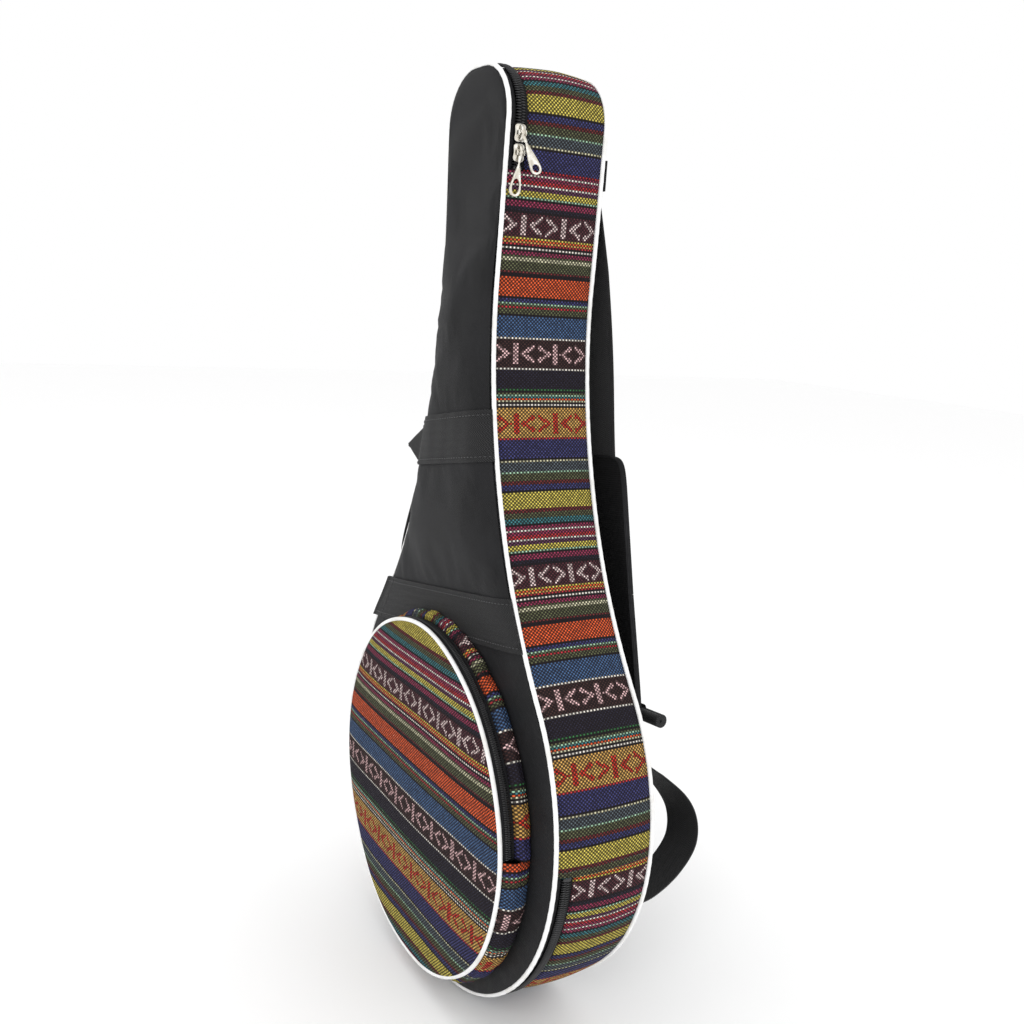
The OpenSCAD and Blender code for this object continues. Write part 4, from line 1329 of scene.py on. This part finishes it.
def roundedBar(start, end, first, firstHalf, second, secondHalf, power=0.5):
    # a bar between two points with a superellipse section in the directions first and second
    start, end, first, second = (np.asarray(v, float) for v in (start, end, first, second))
    t = np.linspace(0, 1, 9)
    size = (1 - np.abs(2 * t - 1) ** 8) ** 0.4
    a = circle(13)
    centre = start + (end - start) * t[:, None]
    section = rounded(np.cos(a), power)[:, None] * first * firstHalf
    section = section + rounded(np.sin(a), power)[:, None] * second * secondHalf
    return centre[:, None, :] + size[:, None, None] * section[None]


def makeBuckle(side, word, body):
    # ladder lock: two rails, three cross bars, and a thumb lip at the lower end
    p = strap
    topL = p["webLength"] + p["padLength"]
    half = p["tailWidth"] / 2
    down = strapPoint(side, 0, 0, 1.0) - strapPoint(side, 0, 0, 0)
    across = strapPoint(side, 1.0, 0, 0) - strapPoint(side, 0, 0, 0)
    outward = np.array([0, 1.0, 0])
    off = float(strapOff(topL)) + 3 * mm
    bars = []
    for sign in (-1, 1):
        start = strapPoint(side, sign * (half + 3 * mm), off, topL - 2 * mm)
        end = strapPoint(side, sign * (half + 3 * mm), off, topL + p["buckle"])
        bars.append(roundedBar(start, end, across, 2.2 * mm, outward, 2.0 * mm))
    for l, lift, thick in ((1, 0, 1.9), (12.5, 1.2, 1.7), (24, 1.8, 2.4)):
        start = strapPoint(side, -half - 4 * mm, off + lift * mm, topL + l * mm)
        end = strapPoint(side, half + 4 * mm, off + lift * mm, topL + l * mm)
        bars.append(roundedBar(start, end, down, thick * mm, outward, 1.7 * mm))
    piece = manyGrids(word + "Buckle", np.array(bars), blackPlastic)
    setUp(piece, body, "black_plastic", word + "_buckle")


def makeWebbingRoll(side, word, body):
    # spare webbing wound on itself: r grows evenly with the angle
    p = strap
    a = np.linspace(0, 3.4 * 2 * math.pi, 150)
    radius = 1.6 * mm + (p["roll"] - 2.4 * mm) * a / a[-1]
    endL = p["webLength"] + p["padLength"]
    stand = float(strapOff(endL)) + p["padThickness"] + p["roll"]
    l = endL - p["roll"] + radius * np.cos(a)
    off = stand + radius * np.sin(a)
    across = side * np.linspace(-6 * mm, 38 * mm, 9)[::side]
    grid = strapPoint(side, across[None] + 0 * a[:, None], off[:, None], l[:, None])
    uv = clothUv(a * 4 * mm, across)
    piece = gridPiece(word + "WebbingRoll", grid, uv, [webbing])
    thicken(piece, 1.1 * mm)
    setUp(piece, body, "webbing", word + "_webbing_roll")
    # elastic keeper that holds the roll against the strap
    b = circle(41)
    l = endL - p["roll"] + (p["roll"] + 0.8 * mm) * rounded(np.cos(b), 0.6)
    off = stand - 1 * mm + (p["roll"] + 1.4 * mm) * rounded(np.sin(b), 0.6)
    across = side * np.linspace(0, 10 * mm, 5)[::side]
    grid = strapPoint(side, across[None] + 0 * b[:, None], off[:, None], l[:, None])
    uv = clothUv(b * 7 * mm, across)
    piece = gridPiece(word + "RollKeeper", grid, uv, [tapeCloth])
    thicken(piece, 0.7 * mm)
    setUp(piece, body, "webbing")


def makeTail(side, word, body):
    # webbing that leaves the buckle, loops out behind the bag and returns to its tab
    p = strap
    endL = p["webLength"] + p["padLength"] + p["buckle"]
    topX = p["topX"] + endL * math.sin(p["spread"])
    topZ = p["topZ"] - endL * math.cos(p["spread"])
    start = float(strapOff(p["webLength"] + p["padLength"])) / mm
    keys = [(-3, start + 3.4, 27), (-1.5, start + 5.2, 14), (0, start + 7, 2)]
    keys = np.array(keys + p["tail"]) * mm
    line = smoothPath(keys, 130) + np.array([topX, 0, topZ])
    way = np.gradient(line, axis=0)
    turn = math.radians(12) * np.sin(math.pi * np.linspace(0, 1, 130) ** 0.9) ** 1.3
    across = np.stack([np.cos(turn), np.sin(turn), 0 * turn], -1)
    across -= way * (across * way).sum(1, keepdims=True) / (way**2).sum(1, keepdims=True)
    across /= np.linalg.norm(across, axis=1, keepdims=True)
    width = np.linspace(-p["tailWidth"] / 2, p["tailWidth"] / 2, 9)
    points = line[:, None] + across[:, None] * width[None, :, None]
    grid = framed(side * points[..., 0], rearFace + points[..., 1], points[..., 2])
    uv = clothUv(lengthAlong(line), width)
    if side > 0:
        grid, uv = grid[:, ::-1], uv[:, ::-1]
    piece = gridPiece(word + "Tail", grid, uv, [webbing])
    thicken(piece, 1.4 * mm)
    softenEdges(piece, 0.35 * mm)
    start = Vector(framed(side * topX, rearFace, topZ - 6 * mm).tolist())
    end = Vector(framed(side * topX, rearFace, p["lowZ"] + 8 * mm).tolist())
    cross(piece, (body, "shell"), start, end, "webbing", word + "_tail")


def flatPatch(name, x0, x1, z0, z1, off, thickness, node, rows=9):
    # a flat piece of webbing on the back, slightly domed
    x, z = np.meshgrid(np.linspace(x0, x1, rows), np.linspace(z0, z1, 9), indexing="ij")
    dome = 0.4 * mm * np.sin(math.pi * (x - x0) / (x1 - x0)) * np.sin(math.pi * (z - z0) / (z1 - z0))
    grid = framed(x, rearFace + off + thickness + dome, z)
    uv = np.stack([z, x], -1)
    piece = gridPiece(name, grid[::-1], uv[::-1], [webbing])
    thicken(piece, thickness)
    softenEdges(piece, 0.4 * mm)
    setUp(piece, "shell", "webbing", node)


def crossBox(name, x0, x1, z0, z1, off):
    # a box of stitches with a cross in it, as one closed line and two diagonals
    corners = [(x0, z0), (x1, z0), (x1, z1), (x0, z1), (x0, z0), (x1, z1)]
    points = np.concatenate([np.linspace(a, b, 12)[:-1] for a, b in zip(corners[:-1], corners[1:])])
    stitchRow(name + "Box", framed(points[:, 0], rearFace + off, points[:, 1]), "shell", "webbing")
    points = np.linspace((x0, z1), (x1, z0), 12)
    stitchRow(name + "Cross", framed(points[:, 0], rearFace + off, points[:, 1]), "shell", "webbing")


def makeStrapTab(side, word):
    p = strap
    x0, x1 = sorted((side * p["lowX"] - p["tailWidth"] / 2, side * p["lowX"] + p["tailWidth"] / 2))
    z = p["lowZ"]
    flatPatch(word + "StrapTab", x0, x1, z - 20 * mm, z + 4 * mm, 3.9 * mm, 1.6 * mm, word + "_strap_tab")
    crossBox(word + "TabStitches", x0 + 4 * mm, x1 - 4 * mm, z - 17 * mm, z - 1 * mm, 5.9 * mm)


def makeAnchorPatch():
    p = strap
    reach = p["topX"] + p["webWidth"] / 2 + 4 * mm
    z = p["topZ"]
    flatPatch("anchorPatch", -reach, reach, z, z + 22 * mm, 3.6 * mm, 1.4 * mm, "strap_anchor_patch", rows=21)
    for side, word in ((1, "right"), (-1, "left")):
        x0, x1 = sorted((side * (p["topX"] - 12 * mm), side * (p["topX"] + 12 * mm)))
        crossBox(word + "AnchorStitches", x0, x1, z + 3 * mm, z + 19 * mm, 5.4 * mm)


slider = {
    "length": 12 * mm,
    "width": 10 * mm,
    "pin": 3.7 * mm,             # the pull's pin above the slider's foot
    "pull": 30 * mm,
    "pullWidth": 9 * mm,
    "out": 0.6 * mm,
}


def localFrame(origin, outward, along):
    # columns: out of the bag, across the zip, along the zip
    outward, along = np.asarray(outward, float), np.asarray(along, float)
    return np.asarray(origin, float), np.stack([outward, [0, 1.0, 0], along], 1)


def turned(local, lift, fan):
    # the frame turned about its pin by lift, then sideways by fan
    origin, axes = local
    c, s = math.cos(lift), math.sin(lift)
    about = np.array([[c, 0, s], [0, 1, 0], [-s, 0, c]])
    c, s = math.cos(fan), math.sin(fan)
    side = np.array([[1, 0, 0], [0, c, -s], [0, s, c]])
    return origin, axes @ about @ side


def placed(local, points):
    origin, axes = local
    return origin + points @ axes.T


def slabGrid(half, length, thickness, crown, pinch):
    # rounded plate: rings shrink over its edge; the top is crowned and its waist pinched
    a = circle(41)
    rings = [(0, 0), (0.9, 0), (1, 0.25), (1, 0.75), (0.9, 1), (0.6, 1.12), (0.3, 1.18), (0, 1.2)]
    grid = []
    for size, level in rings:
        y = half * size * rounded(np.cos(a), 0.6)
        z = length * size * rounded(np.sin(a), 0.6)
        y = y * (1 - pinch * np.cos(z / length * math.pi / 2) ** 2)
        x = thickness * min(level, 1) + crown * max(0, level - 1) / 0.2 + 0 * a
        grid.append(np.stack([x, y, z], -1))
    return np.array(grid)


def makeSlider(name, local, width, body, node):
    # crowned plate with a bridge over it, a pin and two cheeks
    half, length = width / 2, slider["length"] / 2
    plate = slabGrid(half, length, 1.3 * mm, 0.5 * mm, 0.22)
    plate = gridPiece(name, placed(local, plate), None, [nickel], closed=True)
    t = np.linspace(0, 1, 17)
    z = length * 0.82 * np.cos(math.pi * t)
    x = 1.2 * mm + 3.6 * mm * np.sin(math.pi * t) ** 0.55
    a = circle(13)
    breadth = 1.5 * mm - 0.5 * mm * np.sin(math.pi * t)
    path = np.stack([x, z], -1)
    way = np.gradient(path, axis=0)
    way /= np.linalg.norm(way, axis=1, keepdims=True)
    up = np.stack([-way[:, 1], way[:, 0]], -1)
    bridge = np.stack([x[:, None] + up[:, :1] * 0.55 * mm * np.sin(a), breadth[:, None] * np.cos(a),
                       z[:, None] + up[:, 1:] * 0.55 * mm * np.sin(a)], -1)
    bridge = gridPiece(name + "Bridge", placed(local, bridge), None, [nickel], closed=True)
    outAxis, acrossAxis, alongAxis = np.eye(3)
    high = slider["pin"]
    bars = [roundedBar((high, -3 * mm, 0), (high, 3 * mm, 0), outAxis, 0.8 * mm, alongAxis, 0.8 * mm, 1)]
    for y in (-2.8 * mm, 2.8 * mm):
        end = (high + 1.3 * mm, y, 0)
        bars.append(roundedBar((1 * mm, y, 0), end, alongAxis, 1.9 * mm, acrossAxis, 0.6 * mm))
    setUp(manyGrids(name + "Cheeks", placed(local, np.array(bars)), nickel), body, "nickel")
    setUp(plate, body, "nickel", node)
    setUp(bridge, body, "nickel")


def makePull(name, local, body, node, style):
    # a plate with a rounded end and a large hole, joined by a neck to the eye on the pin
    s = slider
    turn = circle(73)
    half, bottom = s["pullWidth"] / 2, -s["pull"]
    middle = bottom + half
    # outer edge: a round foot, sides that draw in towards the neck, and a flat shoulder
    top = -6.5 * mm
    rise = np.sin(turn)
    z = middle + np.where(rise < 0, half * rise, (top - middle) * np.abs(rise) ** 1.2)
    shrink = np.where(rise > 0, 1 - 0.62 * np.abs(rise) ** 1.6, 1)
    y = half * rounded(np.cos(turn), 0.75 if style == "wide" else 0.9) * shrink
    holeHalf = s["pullWidth"] * 0.31
    stretch = 1.0 if style == "wide" else 1.9
    holeZ = middle + holeHalf * stretch * np.sin(turn) + (holeHalf * (stretch - 1))
    holeY = holeHalf * np.cos(turn)
    # the plate's section: share of the way from hole to edge, and height
    under = [(0, -0.5), (0.1, -1), (0.5, -1.08), (0.9, -1), (1, -0.5)]
    over = [(k, -height) for k, height in reversed(under)]
    grid = []
    for k, height in under + over + under[:1]:
        level = np.full_like(y, 0.75 * mm * height)
        grid.append(np.stack([level, holeY + (y - holeY) * k, holeZ + (z - holeZ) * k], -1))
    grid = np.array(grid)
    plate = gridPiece(name, placed(local, grid), None, [nickel], closed=True)
    neck = roundedBar((0, 0, -1.6 * mm), (0, 0, -7.5 * mm), (0, 1, 0), 1.25 * mm, (1, 0, 0), 0.75 * mm)
    ring = circle(33)
    b = circle(11)
    reach = 1.5 * mm + 0.5 * mm * np.cos(b)
    breadth = 1.6 * mm * np.sin(b) + 0 * ring[:, None]
    eye = np.stack([reach * np.cos(ring)[:, None], breadth, reach * np.sin(ring)[:, None]], -1)
    eye = gridPiece(name + "Eye", placed(local, eye), None, [nickel], closed=True)
    setUp(manyGrids(name + "Neck", placed(local, np.array([neck])), nickel), body, "nickel")
    setUp(plate, body, "nickel", node)
    setUp(eye, body, "nickel")


def makeMetal():
    slopeAngle = math.atan((case["headHalf"] - halfWidth(0.5626)) / (0.682 - 0.5626))
    outward = (math.cos(slopeAngle), 0, -math.sin(slopeAngle))
    along = (math.sin(slopeAngle), 0, math.cos(slopeAngle))
    pulls = {"upper": (14, 22, "wide"), "lower": (0, -6, "oval")}
    for word, (lift, fan, style) in pulls.items():
        low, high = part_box(word + "_slider")
        z = (low.z + high.z) / 2 - pipingRadius - 0.04 * mm
        local = localFrame(framed(halfWidth(z) + slider["out"], coilDepth, z), outward, along)
        makeSlider(word + "Slider", local, slider["width"], word + "_slider", word + "_slider")
        pinPlace = placed(local, np.array([slider["pin"], 0, 0]))
        hung = turned((pinPlace, local[1]), -math.radians(lift), math.radians(fan))
        makePull(word + "Pull", hung, word + "_pull", word + "_pull", style)
    angle = math.radians(168)
    outward = (math.cos(angle), 0, math.sin(angle))
    along = (-math.sin(angle), 0, math.cos(angle))
    middle = pocketFace + pipingRadius + pocket["tape"] + pocket["coil"] / 2
    radius = pocket["radius"] + 1.6 * mm
    place = framed(radius * outward[0], middle, pocket["z"] + radius * outward[2])
    local = localFrame(place, outward, along)
    makeSlider("pocketSlider", local, 8.3 * mm, "pocket_slider", "pocket_slider")
    pinPlace = placed(local, np.array([slider["pin"], 0, 0]))
    flipped = (pinPlace, local[1] * np.array([1, -1, -1]))
    makePull("pocketPull", flipped, "pocket_pull", "pocket_pull", "wide")


def makeStage():
    mesh = bpy.data.meshes.new("floor")
    reach, level = 6.0, -0.0008
    corners = [(-reach, -reach, level), (reach, -reach, level), (reach, reach, level), (-reach, reach, level)]
    mesh.from_pydata(corners, [], [(0, 1, 2, 3)])
    floor = bpy.data.objects.new("floor", mesh)
    bpy.context.scene.collection.objects.link(floor)
    material, _, shader = newMaterial("paleFloor", Roughness=0.9)
    shader.inputs["Base Color"].default_value = (0.98, 0.98, 0.98, 1)
    mesh.materials.append(material)
    world = bpy.data.worlds.new("studio")
    world.use_nodes = True
    world.node_tree.nodes["Background"].inputs[0].default_value = (1, 1, 1, 1)
    world.node_tree.nodes["Background"].inputs[1].default_value = 1.0
    bpy.context.scene.world = world


def makeLights():
    lights = [
        ("keyLight", (1.7, -1.7, 1.9), 1.0, 14),
        ("sideLight", (2.4, 0.6, 1.2), 1.6, 7),
        ("topLight", (-0.6, -0.9, 2.6), 1.2, 6),
    ]
    for name, place, size, power in lights:
        data = bpy.data.lights.new(name, "AREA")
        data.size = size
        data.energy = power
        light = bpy.data.objects.new(name, data)
        light.location = place
        aim = Vector((0, 0, 0.35)) - Vector(place)
        light.rotation_euler = aim.to_track_quat("-Z", "Y").to_euler()
        bpy.context.scene.collection.objects.link(light)


def makeCamera():
    data = bpy.data.cameras.new("camera")
    data.sensor_width = 36
    data.lens = 36.97
    camera = bpy.data.objects.new("camera", data)
    ahead = Vector((-0.8435, 0.4977, -0.2018)).normalized()
    up = Vector((-0.2058, 0.0476, 0.9774))
    right = ahead.cross(up).normalized()
    up = right.cross(ahead)
    place = Vector((0.7152, frontSeam - 0.3728, 0.5605 + pipingRadius))
    camera.matrix_world = Matrix.Translation(place) @ Matrix((right, up, -ahead)).transposed().to_4x4()
    bpy.context.scene.collection.objects.link(camera)
    bpy.context.scene.camera = camera
    bpy.context.scene.view_settings.view_transform = "Standard"


makeCamera()
makeStage()
makeLights()
makeFrontPanel()
makeBackPanel()
nodes = ["neck_foam", "neck_lining", "lid_foam", "lid_lining"]
makeFaceLining("frontLining", 3.0 * mm, 1, "fold", nodes)
nodes = ["back_foam", "back_lining"]
makeFaceLining("backLining", rearFace - wallThickness + 0.6 * mm, -1, "shell", nodes)
print("panels made")
makeGussets()
hemStitches()
makePipings()
makeMainZip()
print("sides, piping and zip made")
makeBands()
makeHandle()
makePocketFront()
makePocketSides()
makePocketTab()
print("bands, handle and pocket made")
makeStraps()
makeMetal()
print("straps and metal made")
